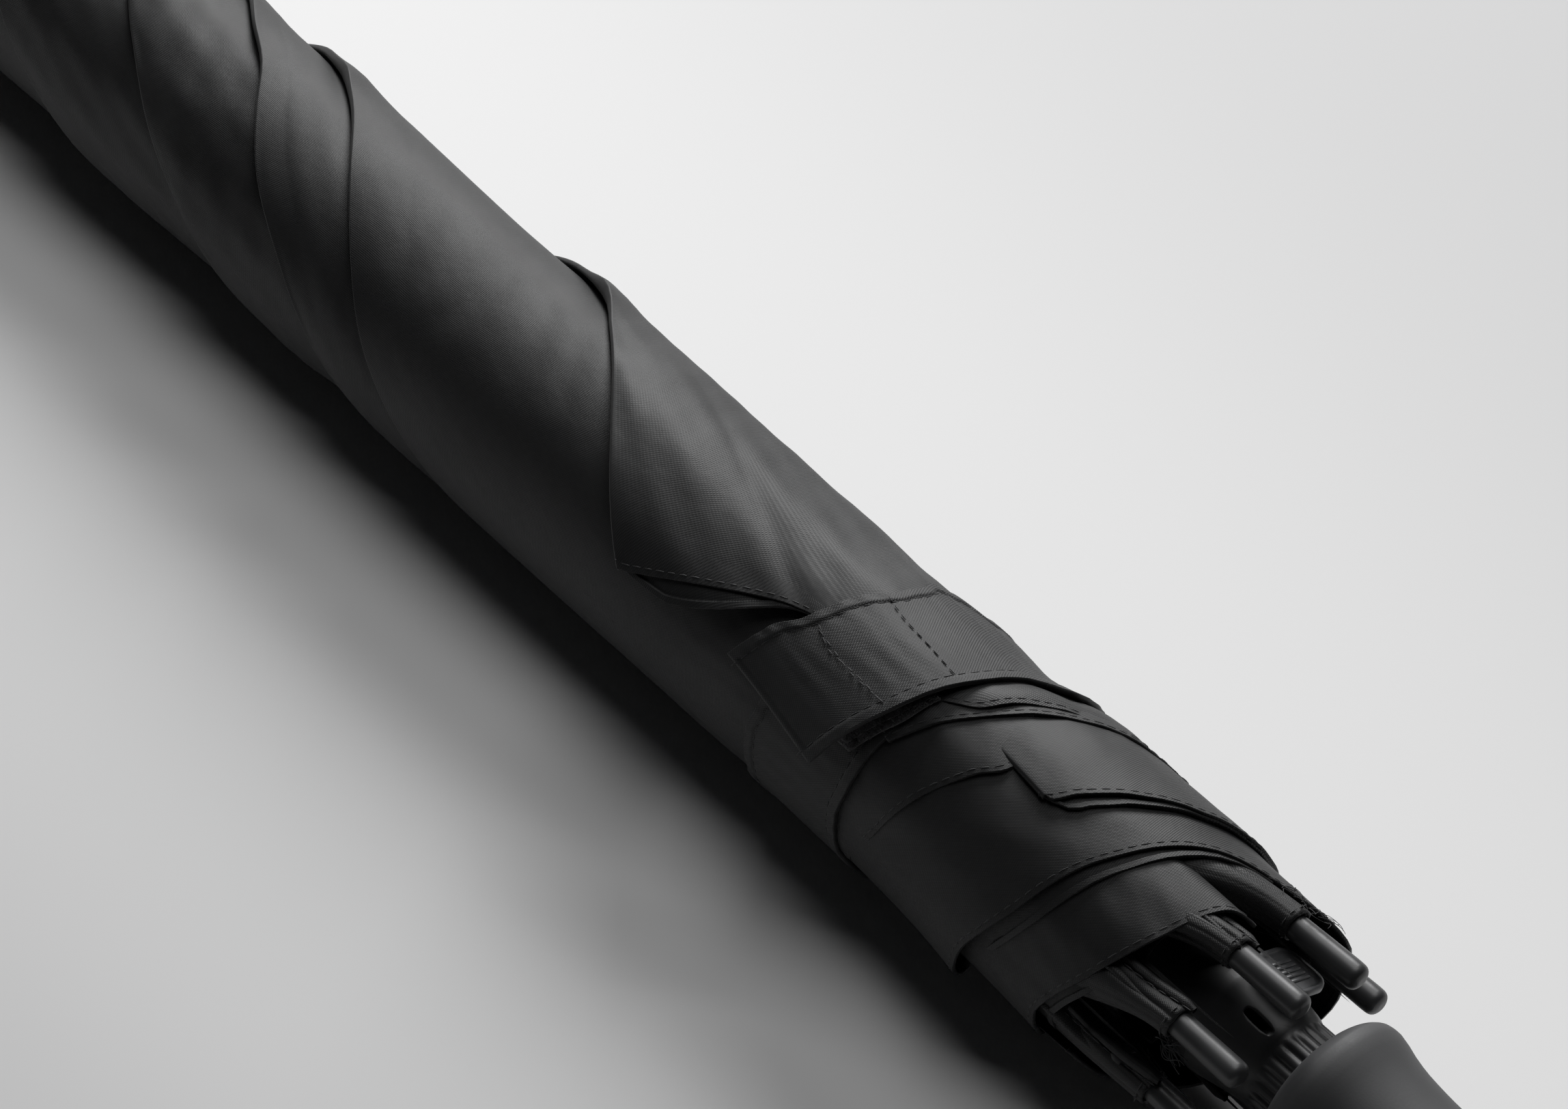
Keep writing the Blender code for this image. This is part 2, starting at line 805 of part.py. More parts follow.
# Handle
def make_handle(core_finish, grip_finish):
    cup = neck_radius + cup_clearance
    floor = runner_end + cup_floor_room
    core_radius = shaft_radius + gap + core_wall
    core = [
        (floor + gap, shaft_radius + gap),
        (floor + gap, core_radius),
        (handle_end, core_radius),
        (handle_end, shaft_radius + gap),
    ]
    turned("handle_core", core, core_finish)
    bore = core_radius + gap
    rim = handle_rim_round
    bell = handle_rim_start + rim
    grip = [
        (floor, bore),
        (floor, cup),
        (handle_rim_start + gap, cup),
        (handle_rim_start, cup + cup_chamfer),
        (handle_rim_start, handle_bell_radius - rim),
        (handle_rim_start + rim / 4, handle_bell_radius - rim / 3),
        (bell, handle_bell_radius),
        (bell + rim, handle_bell_radius - gap),
        (bell + 4 * rim, (handle_bell_radius + handle_waist_radius) / 2 - gap),
        (handle_rim_start + handle_waist_reach, handle_waist_radius),
        (handle_rim_start + handle_swell_reach, handle_swell_radius),
        (handle_end - rim, handle_end_radius + gap),
        (handle_end, handle_end_radius),
        (handle_end, bore),
    ]
    turned("handle_grip", grip, grip_finish)
    start = handle_end + gap
    cap = [
        (start, 0),
        (start, handle_end_radius),
        (start + end_cap_length / 2, handle_end_radius - gap),
        (overall_length - gap, end_cap_flat_radius + cup_chamfer),
        (overall_length, end_cap_flat_radius),
        (overall_length, 0),
    ]
    turned("handle_end_cap", cap, grip_finish, closed=False)


# Furled canopy
def canopy_radius_at(place):
    """The radius of the furled cloth, from the crown to the hem, with a waist under the strap."""
    swell = (strap_place - canopy_start) / 2
    rise = canopy_radius - canopy_crown_radius
    strap_low = strap_place - strap_tilt - strap_width / 2
    strap_high = strap_place + strap_tilt + strap_width / 2
    edge = strap_width / 3
    places = [
        *[canopy_start + swell * way for way, grown in canopy_swell_shares],
        strap_low - 2 * edge,
        strap_low - edge / 2,
        strap_high + edge / 2,
        strap_high + 3 * edge / 2,
        canopy_end - edge,
        canopy_end,
    ]
    radii = [
        *[canopy_crown_radius + rise * grown for way, grown in canopy_swell_shares],
        canopy_radius,
        canopy_strap_radius,
        canopy_strap_radius,
        canopy_radius,
        canopy_radius,
        canopy_hem_radius,
    ]
    return float(np.interp(place, places, radii))


def fold_columns():
    """Shares of a turn, and how far the cloth there has dropped from its fold's edge, from 0 to 1."""
    columns = []
    for i, start in enumerate(fold_phase_shares):
        end = fold_phase_shares[(i + 1) % len(fold_phase_shares)]
        span = (end - start) % 1 - fold_edge_share
        steps = max(2, round(span * fold_columns_each_turn))
        for step in range(steps + 1):
            columns.append((start + span * step / steps, (step / steps) ** 2))
    return columns


def make_canopy(finish):
    """The furled cloth as one shell, with its main folds winding round it."""
    shape = bmesh.new()
    columns = fold_columns()
    rings = []
    for row in range(canopy_rows):
        place = canopy_start + (canopy_end - canopy_start) * row / (canopy_rows - 1)
        radius = canopy_radius_at(place)
        step = fold_step * radius / canopy_radius
        ring = []
        for share, fall in columns:
            angle = math.tau * (share - place / twist_pitch)
            reach = radius - step * fall
            point = (along(place), reach * math.sin(angle), axis_height + reach * math.cos(angle))
            ring.append(shape.verts.new(point))
        rings.append(ring)
    skin_rings(shape, rings)
    wrap = add_mesh("canopy_wrap", mesh_of("canopy_wrap", shape), finish)
    cut(wrap, canopy_bore(), floor_cutter())


def canopy_bore():
    """The room inside the furled cloth for the shaft, the notch and the ribs with their strips."""
    clear = rib_radius + 4 * gap + knuckle_wall + seam_strip_thickness
    shaft_bore = shaft_radius + gap
    notch_bore = notch_radius + gap
    lean = math.tan(closed_rib_angle)
    wide = notch_pivot_radius + clear
    rib_room = wide + (canopy_end - notch_pivot_place) * lean
    outline = [
        (canopy_start - cut_overrun, 0),
        (canopy_start - cut_overrun, shaft_bore),
        (notch_start - gap, shaft_bore),
        (notch_start - gap, notch_bore),
        (notch_end, notch_bore + gap),
        (canopy_end, rib_room),
        (canopy_end + cut_overrun, rib_room),
        (canopy_end + cut_overrun, 0),
    ]
    points = [(along(place), radius) for place, radius in outline]
    mesh = turned_mesh("canopy_bore", points, bore_sides, closed=False)
    return cutter("canopy_bore", mesh, Matrix.Translation((0, 0, axis_height)))


def floor_cutter():
    """Takes off what lies below the surface that the umbrella rests on."""
    half = canopy_radius
    low = (along(canopy_start) - cut_overrun, -half, -half)
    high = (along(canopy_end) + cut_overrun, half, 0)
    return cutter("floor_cut", box_mesh("floor_cut", low, high), Matrix())


# Tie strap
def strap_centre(angle):
    return strap_place + strap_tilt * math.sin(angle)


def band_mesh(name, start, end, inner, outer, width, steps):
    """A band round the bundle between two angles, or a whole ring."""
    whole = math.isclose(end - start, math.tau)
    shape = bmesh.new()
    rings = []
    count = steps if whole else steps + 1
    for step in range(count):
        angle = start + (end - start) * step / steps
        centre = along(strap_centre(angle))
        ring = []
        for x, radius in (
            (centre - width / 2, inner),
            (centre - width / 2, outer),
            (centre + width / 2, outer),
            (centre + width / 2, inner),
        ):
            ring.append(shape.verts.new((x, radius * math.sin(angle), radius * math.cos(angle))))
        rings.append(ring)
    skin_rings(shape, rings, closed=whole)
    return mesh_of(name, shape)


def make_strap(cloth_finish, patch_finish):
    """A ring of doubled cloth, the two halves of its fastener, and the tab that lifts off them."""
    up = Matrix.Translation((0, 0, axis_height))
    strap_top = strap_radius + strap_thickness
    loop_low = strap_top + gap
    hook_low = loop_low + patch_thickness + gap
    tab_low = hook_low + patch_thickness + gap
    ring = band_mesh("tie_strap", 0, math.tau, strap_radius, strap_top, strap_width, strap_steps)
    add_mesh("tie_strap", ring, cloth_finish, up)
    for name, low in (("loop_patch", loop_low), ("hook_patch", hook_low)):
        mesh = band_mesh(
            name,
            patch_start_angle,
            patch_end_angle,
            low,
            low + patch_thickness,
            patch_width,
            patch_steps,
        )
        add_mesh(name, mesh, patch_finish, up)
    tab = band_mesh(
        "tie_strap_tab",
        tab_start_angle,
        tab_end_angle,
        tab_low,
        tab_low + strap_thickness,
        strap_width,
        tab_steps,
    )
    add_mesh("tie_strap_tab", tab, cloth_finish, up)


def clear_scene():
    for item in list(bpy.data.objects):
        bpy.data.objects.remove(item, do_unlink=True)


def main():
    clear_scene()
    cloth = material("black_cloth", (0.035, 0.036, 0.038), 0.85)
    tape = material("fastener_tape", (0.012, 0.012, 0.013), 0.95)
    plastic = material("black_plastic", (0.018, 0.018, 0.020), 0.35)
    rubber = material("grey_rubber", (0.055, 0.056, 0.060), 0.75)
    core_plastic = material("core_plastic", (0.02, 0.02, 0.02), 0.5)
    fibreglass = material("black_fibreglass", (0.015, 0.015, 0.016), 0.45)
    steel = material("dark_steel", (0.30, 0.30, 0.31), 0.3, 1.0)
    zinc = material("zinc_wire", (0.55, 0.55, 0.56), 0.35, 1.0)

    make_shaft(steel)
    make_ferrule(plastic)
    make_crown_cap(plastic)
    make_notch(plastic)
    make_pivot_ring("notch_ring", notch_pivot_radius, zinc, on_axis(notch_pivot_place))
    make_ribs(fibreglass, plastic, plastic)
    make_seam_strips(cloth)
    make_stop_collar(plastic)

    runner = add_empty("runner_slide", on_axis(runner_pivot_place))
    make_runner_crown(plastic, runner)
    make_pivot_ring("runner_ring", runner_pivot_radius, zinc, Matrix(), runner)
    make_runner_body(plastic, runner)
    make_button(plastic, zinc, steel, runner)
    make_stretchers(fibreglass, runner)

    make_handle(core_plastic, rubber)
    make_canopy(cloth)
    make_strap(cloth, tape)


main()
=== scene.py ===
import math

import bmesh
import bpy
import numpy as np
from mathutils import Matrix, Vector


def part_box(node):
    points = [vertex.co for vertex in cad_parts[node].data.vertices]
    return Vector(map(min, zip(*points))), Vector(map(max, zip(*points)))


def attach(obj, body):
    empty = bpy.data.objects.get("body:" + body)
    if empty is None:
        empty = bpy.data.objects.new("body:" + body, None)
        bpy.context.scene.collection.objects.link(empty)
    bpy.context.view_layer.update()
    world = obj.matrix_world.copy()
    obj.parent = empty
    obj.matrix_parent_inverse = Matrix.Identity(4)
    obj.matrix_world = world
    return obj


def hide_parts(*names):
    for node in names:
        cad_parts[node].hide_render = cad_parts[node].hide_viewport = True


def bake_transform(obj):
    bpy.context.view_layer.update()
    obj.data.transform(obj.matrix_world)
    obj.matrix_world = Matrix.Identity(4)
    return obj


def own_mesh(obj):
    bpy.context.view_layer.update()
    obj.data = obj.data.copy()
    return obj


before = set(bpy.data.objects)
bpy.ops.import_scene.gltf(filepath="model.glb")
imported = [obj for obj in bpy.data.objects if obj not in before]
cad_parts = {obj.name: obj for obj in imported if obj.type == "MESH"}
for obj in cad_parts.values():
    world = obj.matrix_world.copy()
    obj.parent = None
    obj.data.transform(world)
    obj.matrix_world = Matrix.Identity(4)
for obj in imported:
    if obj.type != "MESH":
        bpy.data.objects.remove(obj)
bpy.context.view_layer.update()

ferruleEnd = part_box("ferrule")[0].x
shaftLow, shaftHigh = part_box("shaft")
axisHeight = (shaftLow.z + shaftHigh.z) / 2
millimetre = 0.001
ribAngles = [-5 + 45 * i for i in range(8)]  # about the shaft, from straight up towards +Y


metresPerDegree = 0.00052  # round the roll
# the strap draws the roll in round one angle, in hollows (place, length, depth, steepness), but not the roll's core
squeeze = {"angle": 65, "halfWidth": 40, "hollows": [(0.649, 0.030, 0.0025, 4), (0.670, 0.011, 0.0022, 2)],
           "coreRadius": 0.022, "coreFade": 0.005}


def onBundle(place, angle, radius, rest=0.0012):
    # place along the shaft from the ferrule's end, angle about it from the top, radius
    place, angle, radius = np.broadcast_arrays(*(np.asarray(v, float) for v in (place, angle, radius)))
    turn = np.radians(angle)
    aside = (angle - squeeze["angle"] + 180) % 360 - 180
    drawn = sum(depth * np.exp(-((place - at) / length) ** power) for at, length, depth, power in squeeze["hollows"])
    outside = smooth((radius - squeeze["coreRadius"]) / squeeze["coreFade"])
    radius = radius - drawn * np.exp(-(aside / squeeze["halfWidth"]) ** 2) * outside
    height = axisHeight + radius * np.cos(turn)
    height = np.where(height < rest, rest + (height - rest) * 0.5, height)  # cloth that lies on the table
    return np.stack([ferruleEnd + place, radius * np.sin(turn), height], -1)


def smooth(share):
    share = np.clip(share, 0, 1)
    return share * share * (3 - 2 * share)


def through(points):
    # a smooth curve through given points, first column in millimetres, with no overshoot
    x, y = np.array(points, float).T
    x = x * millimetre
    steps = np.diff(y) / np.diff(x)
    inner = np.where(steps[1:] * steps[:-1] > 0,
                     2 * steps[1:] * steps[:-1] / (steps[1:] + steps[:-1] + 1e-12), 0)
    slopes = np.concatenate([steps[:1], inner, steps[-1:]])

    def value(at):
        at = np.asarray(at, float)
        i = np.clip(np.searchsorted(x, at) - 1, 0, len(x) - 2)
        width = x[i + 1] - x[i]
        t = (at - x[i]) / width
        inside = np.clip(t, 0, 1)
        a, b = inside ** 2 * (3 - 2 * inside), inside * (1 - inside)
        curve = y[i] * (1 - a) + y[i + 1] * a + width * b * (slopes[i] * (1 - inside) - slopes[i + 1] * inside)
        return curve + np.where(t < 0, slopes[i], slopes[i + 1]) * (t - inside) * width
    return value


def alongLine(points, count):
    # places and angles spread evenly over the length of a line of (place, angle) points
    line = np.array(points, float) * [millimetre, 1]
    steps = np.hypot(np.diff(line[:, 0]), np.diff(line[:, 1]) * metresPerDegree)
    length = np.concatenate([[0], np.cumsum(steps)])
    dense = np.linspace(0, length[-1], 400)
    place, angle = (through(np.stack([length / millimetre, column], 1))(dense) for column in line.T)
    at = np.linspace(0, 1, count) if np.isscalar(count) else np.asarray(count)
    return np.interp(at, dense / length[-1], place), np.interp(at, dense / length[-1], angle)


def ripple(place, angle, seed, long=0.045, wide=38.0):
    # soft unevenness of rolled cloth, between -1 and 1
    chance = np.random.default_rng(seed)
    total = 0
    for k in range(5):
        size = 1.5 ** k
        a, b, c = chance.uniform(-1, 1), chance.uniform(-1, 1), chance.uniform(0, 6.28)
        total = total + np.sin(6.28 * size * (a * place / long + b * angle / wide) + c) / size
    return total / 2.2


# meshes
def inScene(name, data):
    made = bpy.data.objects.new(name, data)
    bpy.context.scene.collection.objects.link(made)
    return made


def smoothShaded(piece):
    piece.data.polygons.foreach_set("use_smooth", [True] * len(piece.data.polygons))
    return piece


def newPiece(name, points, faces, material, uv=None):
    mesh = bpy.data.meshes.new(name)
    mesh.from_pydata([tuple(p) for p in points], [], [tuple(f) for f in faces])
    if uv is not None:
        layer = mesh.uv_layers.new(name="cloth")
        corners = np.array([i for f in faces for i in f])
        layer.data.foreach_set("uv", np.asarray(uv, float)[corners].ravel())
    mesh.materials.append(material)
    return smoothShaded(inScene(name, mesh))


def gridFaces(rows, columns, closed=False):
    index = np.arange(rows * columns).reshape(rows, columns)
    if closed:
        index = np.concatenate([index, index[:, :1]], 1)
    return np.stack([index[:-1, :-1], index[1:, :-1], index[1:, 1:], index[:-1, 1:]], -1).reshape(-1, 4)


def gridPiece(name, points, material, uv=None, closed=False):
    # a piece from rows and columns of points
    faces = gridFaces(*points.shape[:2], closed=closed)
    return newPiece(name, points.reshape(-1, 3), faces, material, None if uv is None else uv.reshape(-1, 2))


def carried(piece, body):
    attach(piece, body)

def bake(piece):
    # what the modifiers make becomes the piece's own mesh
    bpy.context.view_layer.update()
    depsgraph = bpy.context.evaluated_depsgraph_get()
    mesh = bpy.data.meshes.new_from_object(piece.evaluated_get(depsgraph), depsgraph=depsgraph)
    piece.modifiers.clear()
    piece.data = mesh
    return piece


def giveThickness(piece, thickness, weights=None, thin=0.4):
    made = piece.modifiers.new("thickness", "SOLIDIFY")
    made.thickness, made.offset = thickness, -1
    if weights is not None:
        group = piece.vertex_groups.new(name="hem")
        for i, w in enumerate(np.ravel(weights)):
            group.add([i], float(w), "REPLACE")
        made.vertex_group, made.thickness_vertex_group = "hem", thin
    return bake(piece)


def rounded(corners, steps=4):
    # a profile in millimetres: each corner is (place, radius, size of its rounding)
    points = [np.array(c[:2], float) for c in corners]
    made = []
    for i, corner in enumerate(corners):
        size = corner[2] if len(corner) > 2 else 0
        if size == 0 or i in (0, len(corners) - 1):
            made.append(points[i])
            continue
        before, after = points[i - 1] - points[i], points[i + 1] - points[i]
        a = points[i] + before * min(0.49, size / max(np.hypot(*before), 1e-6))
        b = points[i] + after * min(0.49, size / max(np.hypot(*after), 1e-6))
        for t in np.linspace(0, 1, steps + 1):
            made.append(a * (1 - t) ** 2 + points[i] * 2 * t * (1 - t) + b * t ** 2)
    return np.array(made)


def closeMesh(piece):
    # doubles merged and faces turned outwards
    shape = bmesh.new()
    shape.from_mesh(piece.data)
    bmesh.ops.remove_doubles(shape, verts=shape.verts, dist=2e-6)
    bmesh.ops.recalc_face_normals(shape, faces=shape.faces)
    shape.to_mesh(piece.data)
    shape.free()
    return smoothShaded(piece)


def turned(name, profile, sides, material, hollow=True, axes=None):
    # a solid turned about the shaft, or about another axis given as (start, along, out, aside)
    profile = np.array(profile, float) * millimetre
    if hollow:
        profile = np.concatenate([profile, profile[:1]])
    turn = np.arange(sides) * 2 * np.pi / sides
    if axes is None:
        axes = (Vector((ferruleEnd, 0, axisHeight)), Vector((1, 0, 0)), Vector((0, 0, 1)), Vector((0, 1, 0)))
    at, along, out, aside = (np.array(v, float) for v in axes)
    radial = np.cos(turn)[:, None] * out + np.sin(turn)[:, None] * aside
    points = at + profile[:, None, :1] * along + profile[:, None, 1:] * radial[None]
    return closeMesh(gridPiece(name, points, material, closed=True))


# shader maths
class Value:
    def __init__(self, tree, socket):
        self.tree, self.socket = tree, socket

    def maths(self, operation, *others):
        node = self.tree.nodes.new("ShaderNodeMath")
        node.operation = operation
        for slot, value in zip(node.inputs, others):
            if isinstance(value, Value):
                self.tree.links.new(value.socket, slot)
            else:
                slot.default_value = value
        return Value(self.tree, node.outputs[0])

    def __add__(self, other): return self.maths("ADD", self, other)
    def __radd__(self, other): return self.maths("ADD", other, self)
    def __sub__(self, other): return self.maths("SUBTRACT", self, other)
    def __rsub__(self, other): return self.maths("SUBTRACT", other, self)
    def __mul__(self, other): return self.maths("MULTIPLY", self, other)
    def __rmul__(self, other): return self.maths("MULTIPLY", other, self)
    def __truediv__(self, other): return self.maths("DIVIDE", self, other)
    def __pow__(self, other): return self.maths("POWER", self, other)
    def sine(self): return self.maths("SINE", self)
    def size(self): return self.maths("ABSOLUTE", self)
    def most(self, other): return self.maths("MAXIMUM", self, other)
    def least(self, other): return self.maths("MINIMUM", self, other)


class Finish:
    # one material: its node tree, its Principled shader, and one method for every other node
    def __init__(self, name, **shader):
        self.material = bpy.data.materials.new(name)
        self.material.use_nodes = True
        self.tree = self.material.node_tree
        self.shader = self.tree.nodes["Principled BSDF"]
        for socket, value in shader.items():
            self.shader.inputs[socket.replace("_", " ")].default_value = value

    def node(self, kind, settings=None, output=0, **inputs):
        node = self.tree.nodes.new("ShaderNode" + kind)
        for key, value in (settings or {}).items():
            setattr(node, key, value)
        for socket, value in inputs.items():
            name = socket.replace("_", " ")
            slot = next(s for s in node.inputs if s.identifier == socket or s.name == name)
            if isinstance(value, Value):
                self.tree.links.new(value.socket, slot)
            else:
                slot.default_value = value
        return Value(self.tree, node.outputs[output])

    def feed(self, socket, value):
        self.tree.links.new(value.socket, self.shader.inputs[socket])
        return self

    def objectPlace(self):
        return self.node("TexCoord", output=3)

    def split(self, vector):
        node = self.tree.nodes.new("ShaderNodeSeparateXYZ")
        self.tree.links.new(vector.socket, node.inputs[0])
        return [Value(self.tree, s) for s in node.outputs]

    def noise(self, vector, scale, detail=2.0, rough=0.5):
        return self.node("TexNoise", Vector=vector, Scale=scale, Detail=detail, Roughness=rough)

    def colours(self, share, first, second):
        return self.node("Mix", {"data_type": "RGBA"}, output=2, Factor_Float=share,
                         A_Color=(*first, 1), B_Color=(*second, 1))

    def bump(self, height, strength, distance, normal=None):
        more = {"Normal": normal} if normal is not None else {}
        return self.node("Bump", Height=height, Strength=strength, Distance=distance, **more)


clothLook = {"yarnPeriod": 0.0006, "dark": (0.009, 0.0092, 0.0098), "light": (0.020, 0.0204, 0.0212),
             "roughness": 0.56, "sheen": 0.08, "weaveBump": 0.6, "weaveDepth": 0.00009, "broad": 38.0,
             "creases": 160.0, "creaseBump": 0.25, "creaseDepth": 0.0006, "streaks": (900.0, 60.0, 1.0)}


def wovenCloth(name, look, lighter=1.0):
    made = Finish(name, Specular_IOR_Level=0.45, Sheen_Weight=look["sheen"], Sheen_Roughness=0.45)
    flat = made.node("UVMap", {"uv_map": "cloth"})
    u, v, _ = made.split(flat)
    turnsEach = 2 * math.pi / look["yarnPeriod"]
    across, along = (u * turnsEach).sine(), (v * turnsEach).sine()
    weave = across * along
    place = made.objectPlace()
    broad = made.noise(place, look["broad"], 3.0)
    streaks = made.noise(made.node("Mapping", Vector=flat, Scale=look["streaks"]), 1.0, 1.0)
    share = (weave * 0.30 + 0.35) + (broad - 0.5) * 0.5 + (streaks - 0.5) * 0.35
    dark = tuple(c * lighter for c in look["dark"])
    light = tuple(c * lighter for c in look["light"])
    made.feed("Base Color", made.colours(share.most(0.0).least(1.0), dark, light))
    made.feed("Roughness", look["roughness"] + (broad - 0.5) * 0.14 - weave * 0.05)
    soft = made.bump(made.noise(place, look["creases"], 3.0, 0.55), look["creaseBump"], look["creaseDepth"])
    made.feed("Normal", made.bump(weave * 0.5 + (across.size() + along.size()) * 0.15,
                                  look["weaveBump"], look["weaveDepth"], soft))
    return made.material


def mouldedPlastic(name, colour, roughness, grain, coat=0.0):
    made = Finish(name, Specular_IOR_Level=0.5, Coat_Weight=coat, Coat_Roughness=0.25)
    place = made.objectPlace()
    broad, fine = made.noise(place, 90.0, 3.0), made.noise(place, 2200.0, 2.0)
    dark = tuple(c * 0.8 for c in colour)
    light = tuple(min(1.0, c * 1.3) for c in colour)
    made.feed("Base Color", made.colours(broad, dark, light))
    made.feed("Roughness", roughness + (broad - 0.5) * 0.16 + (fine - 0.5) * 0.10)
    made.feed("Normal", made.bump(fine, grain, 0.00005))
    return made.material


def metal(name, colour, roughness, drawn=(2.0, 400.0, 400.0)):
    made = Finish(name, Metallic=1.0)
    place = made.node("Mapping", Vector=made.objectPlace(), Scale=drawn)
    lines, cloud = made.noise(place, 3.0, 2.0), made.noise(made.objectPlace(), 60.0, 3.0)
    made.feed("Base Color", made.colours(cloud, tuple(c * 0.8 for c in colour), colour))
    made.feed("Roughness", roughness + (lines - 0.5) * 0.2 + (cloud - 0.5) * 0.15)
    made.feed("Normal", made.bump(lines, 0.15, 0.00004))
    return made.material


def looseTape(name):
    made = Finish(name, Sheen_Weight=0.4, Sheen_Roughness=0.5)
    place = made.objectPlace()
    pile, broad = made.noise(place, 2600.0, 3.0, 0.7), made.noise(place, 500.0, 2.0)
    made.feed("Base Color", made.colours(pile, (0.006, 0.006, 0.007), (0.034, 0.034, 0.036)))
    made.feed("Roughness", 0.75 + (broad - 0.5) * 0.2)
    made.feed("Normal", made.bump(pile, 0.9, 0.0006))
    return made.material


cloth = wovenCloth("canopy cloth", clothLook, 0.83)
# painted shade: the inner cloth is the canopy cloth made darker, for cloth that lies inside the roll in shade
shadedInnerCloth = wovenCloth("inner canopy cloth", clothLook, 0.66)
# the strap cloth has its own finer weave, and painted light: it is a lighter copy of the canopy cloth so that the tab
# looks lit
litStrapCloth = wovenCloth("strap cloth", {**clothLook, "yarnPeriod": 0.00062, "weaveBump": 0.7}, 0.97)
threadLook = Finish("sewing thread", Sheen_Weight=0.2)
threadLook.feed("Base Color", threadLook.colours(threadLook.noise(threadLook.objectPlace(), 1500.0),
                                                 (0.006, 0.006, 0.007), (0.028, 0.028, 0.03)))
threadLook.feed("Roughness", 0.6 + (threadLook.noise(threadLook.objectPlace(), 3000.0) - 0.5) * 0.3)
thread = threadLook.material
blackPlastic = mouldedPlastic("black plastic", (0.024, 0.0244, 0.0255), 0.42, 0.12)
capPlastic = mouldedPlastic("rib cap plastic", (0.044, 0.0445, 0.046), 0.38, 0.08)
# painted light: the push button's plastic is made lighter than the other black plastic, standing in for light that the
# sleeves and skirt keep off it
litButtonPlastic = mouldedPlastic("button plastic", (0.070, 0.071, 0.074), 0.38, 0.10)
rubber = mouldedPlastic("grip rubber", (0.050, 0.0505, 0.0525), 0.62, 0.22)
steel = metal("bright steel", (0.55, 0.55, 0.56), 0.3)
blackSteel = metal("blackened steel", (0.06, 0.06, 0.065), 0.42)
zinc = metal("cast zinc", (0.36, 0.36, 0.37), 0.5, (40.0, 40.0, 40.0))
fibre = mouldedPlastic("glass fibre rod", (0.012, 0.012, 0.013), 0.42, 0.3)
core = mouldedPlastic("hard core", (0.05, 0.05, 0.05), 0.5, 0.15)
tape = looseTape("loop tape")
print("materials made")


def instancer(name, sizes, seed, build):
    # a tree that stands a shape on points: build(given, add) returns the points, the shape, its rotation and its scale
    tree = bpy.data.node_groups.new(name, "GeometryNodeTree")
    tree.interface.new_socket("base", in_out="INPUT", socket_type="NodeSocketGeometry")
    for key, value in {**sizes, "seed": seed}.items():
        kind = "NodeSocketInt" if isinstance(value, int) else "NodeSocketFloat"
        tree.interface.new_socket(key, in_out="INPUT", socket_type=kind).default_value = value
    tree.interface.new_socket("material", in_out="INPUT", socket_type="NodeSocketMaterial")
    tree.interface.new_socket("made", in_out="OUTPUT", socket_type="NodeSocketGeometry")
    given = {socket.name: socket for socket in tree.nodes.new("NodeGroupInput").outputs}

    def add(kind, feeds, output=0, **settings):
        # a node with its settings, and its inputs, by name or number, fed by a socket or a value
        node = tree.nodes.new(kind)
        for key, value in settings.items():
            setattr(node, key, value)
        for socket, value in feeds.items():
            if isinstance(value, bpy.types.NodeSocket):
                tree.links.new(value, node.inputs[socket])
            else:
                node.inputs[socket].default_value = value
        return node.outputs[output]

    parts = dict(zip(("Points", "Instance", "Rotation", "Scale"), build(given, add)))
    solid = add("GeometryNodeRealizeInstances", {0: add("GeometryNodeInstanceOnPoints", parts)})
    painted = add("GeometryNodeSetMaterial", {"Geometry": solid, "Material": given["material"]})
    tree.links.new(painted, tree.nodes.new("NodeGroupOutput").inputs[0])
    return tree


def grow(piece, tree, **inputs):
    # the piece becomes what the tree makes of it
    made = piece.modifiers.new(tree.name, "NODES")
    made.node_group = tree
    sockets = {s.name: s.identifier for s in tree.interface.items_tree if s.item_type == "SOCKET"}
    for key, value in inputs.items():
        made[sockets[key]] = value
    return bake(piece)


# stitches: a thread instanced along a line
stitchSizes = {"stitchLength": 0.0022, "stitchGap": 0.0007, "threadWidth": 0.00032}


def stitchParts(given, add):
    spacing = add("ShaderNodeMath", {0: given["stitchLength"], 1: given["stitchGap"]})
    line = add("GeometryNodeMeshToCurve", {0: given["base"]})
    points = add("GeometryNodeResampleCurve", {"Curve": line, "Length": spacing}, mode="LENGTH")
    ball = add("GeometryNodeMeshUVSphere", {"Segments": 6, "Rings": 4, "Radius": 0.5})
    ahead = add("FunctionNodeAlignRotationToVector", {"Vector": add("GeometryNodeInputTangent", {})}, axis="Z")
    vary = add("FunctionNodeRandomValue", {2: 0.85, 3: 1.1, "Seed": given["seed"]}, output=1)
    longer = add("ShaderNodeMath", {0: given["stitchLength"], 1: vary}, operation="MULTIPLY")
    size = add("ShaderNodeCombineXYZ", {0: given["threadWidth"], 1: given["threadWidth"], 2: longer})
    return points, ball, ahead, size


stitching = instancer("stitches", stitchSizes, 3, stitchParts)


def sew(name, lines):
    # one piece of thread for several lines of points on the cloth
    points, edges = [], []
    for line in lines:
        first = len(points)
        points += [tuple(p) for p in line]
        edges += [(i, i + 1) for i in range(first, len(points) - 1)]
    mesh = bpy.data.meshes.new(name)
    mesh.from_pydata(points, edges, [])
    return smoothShaded(grow(inScene(name, mesh), stitching, material=thread))


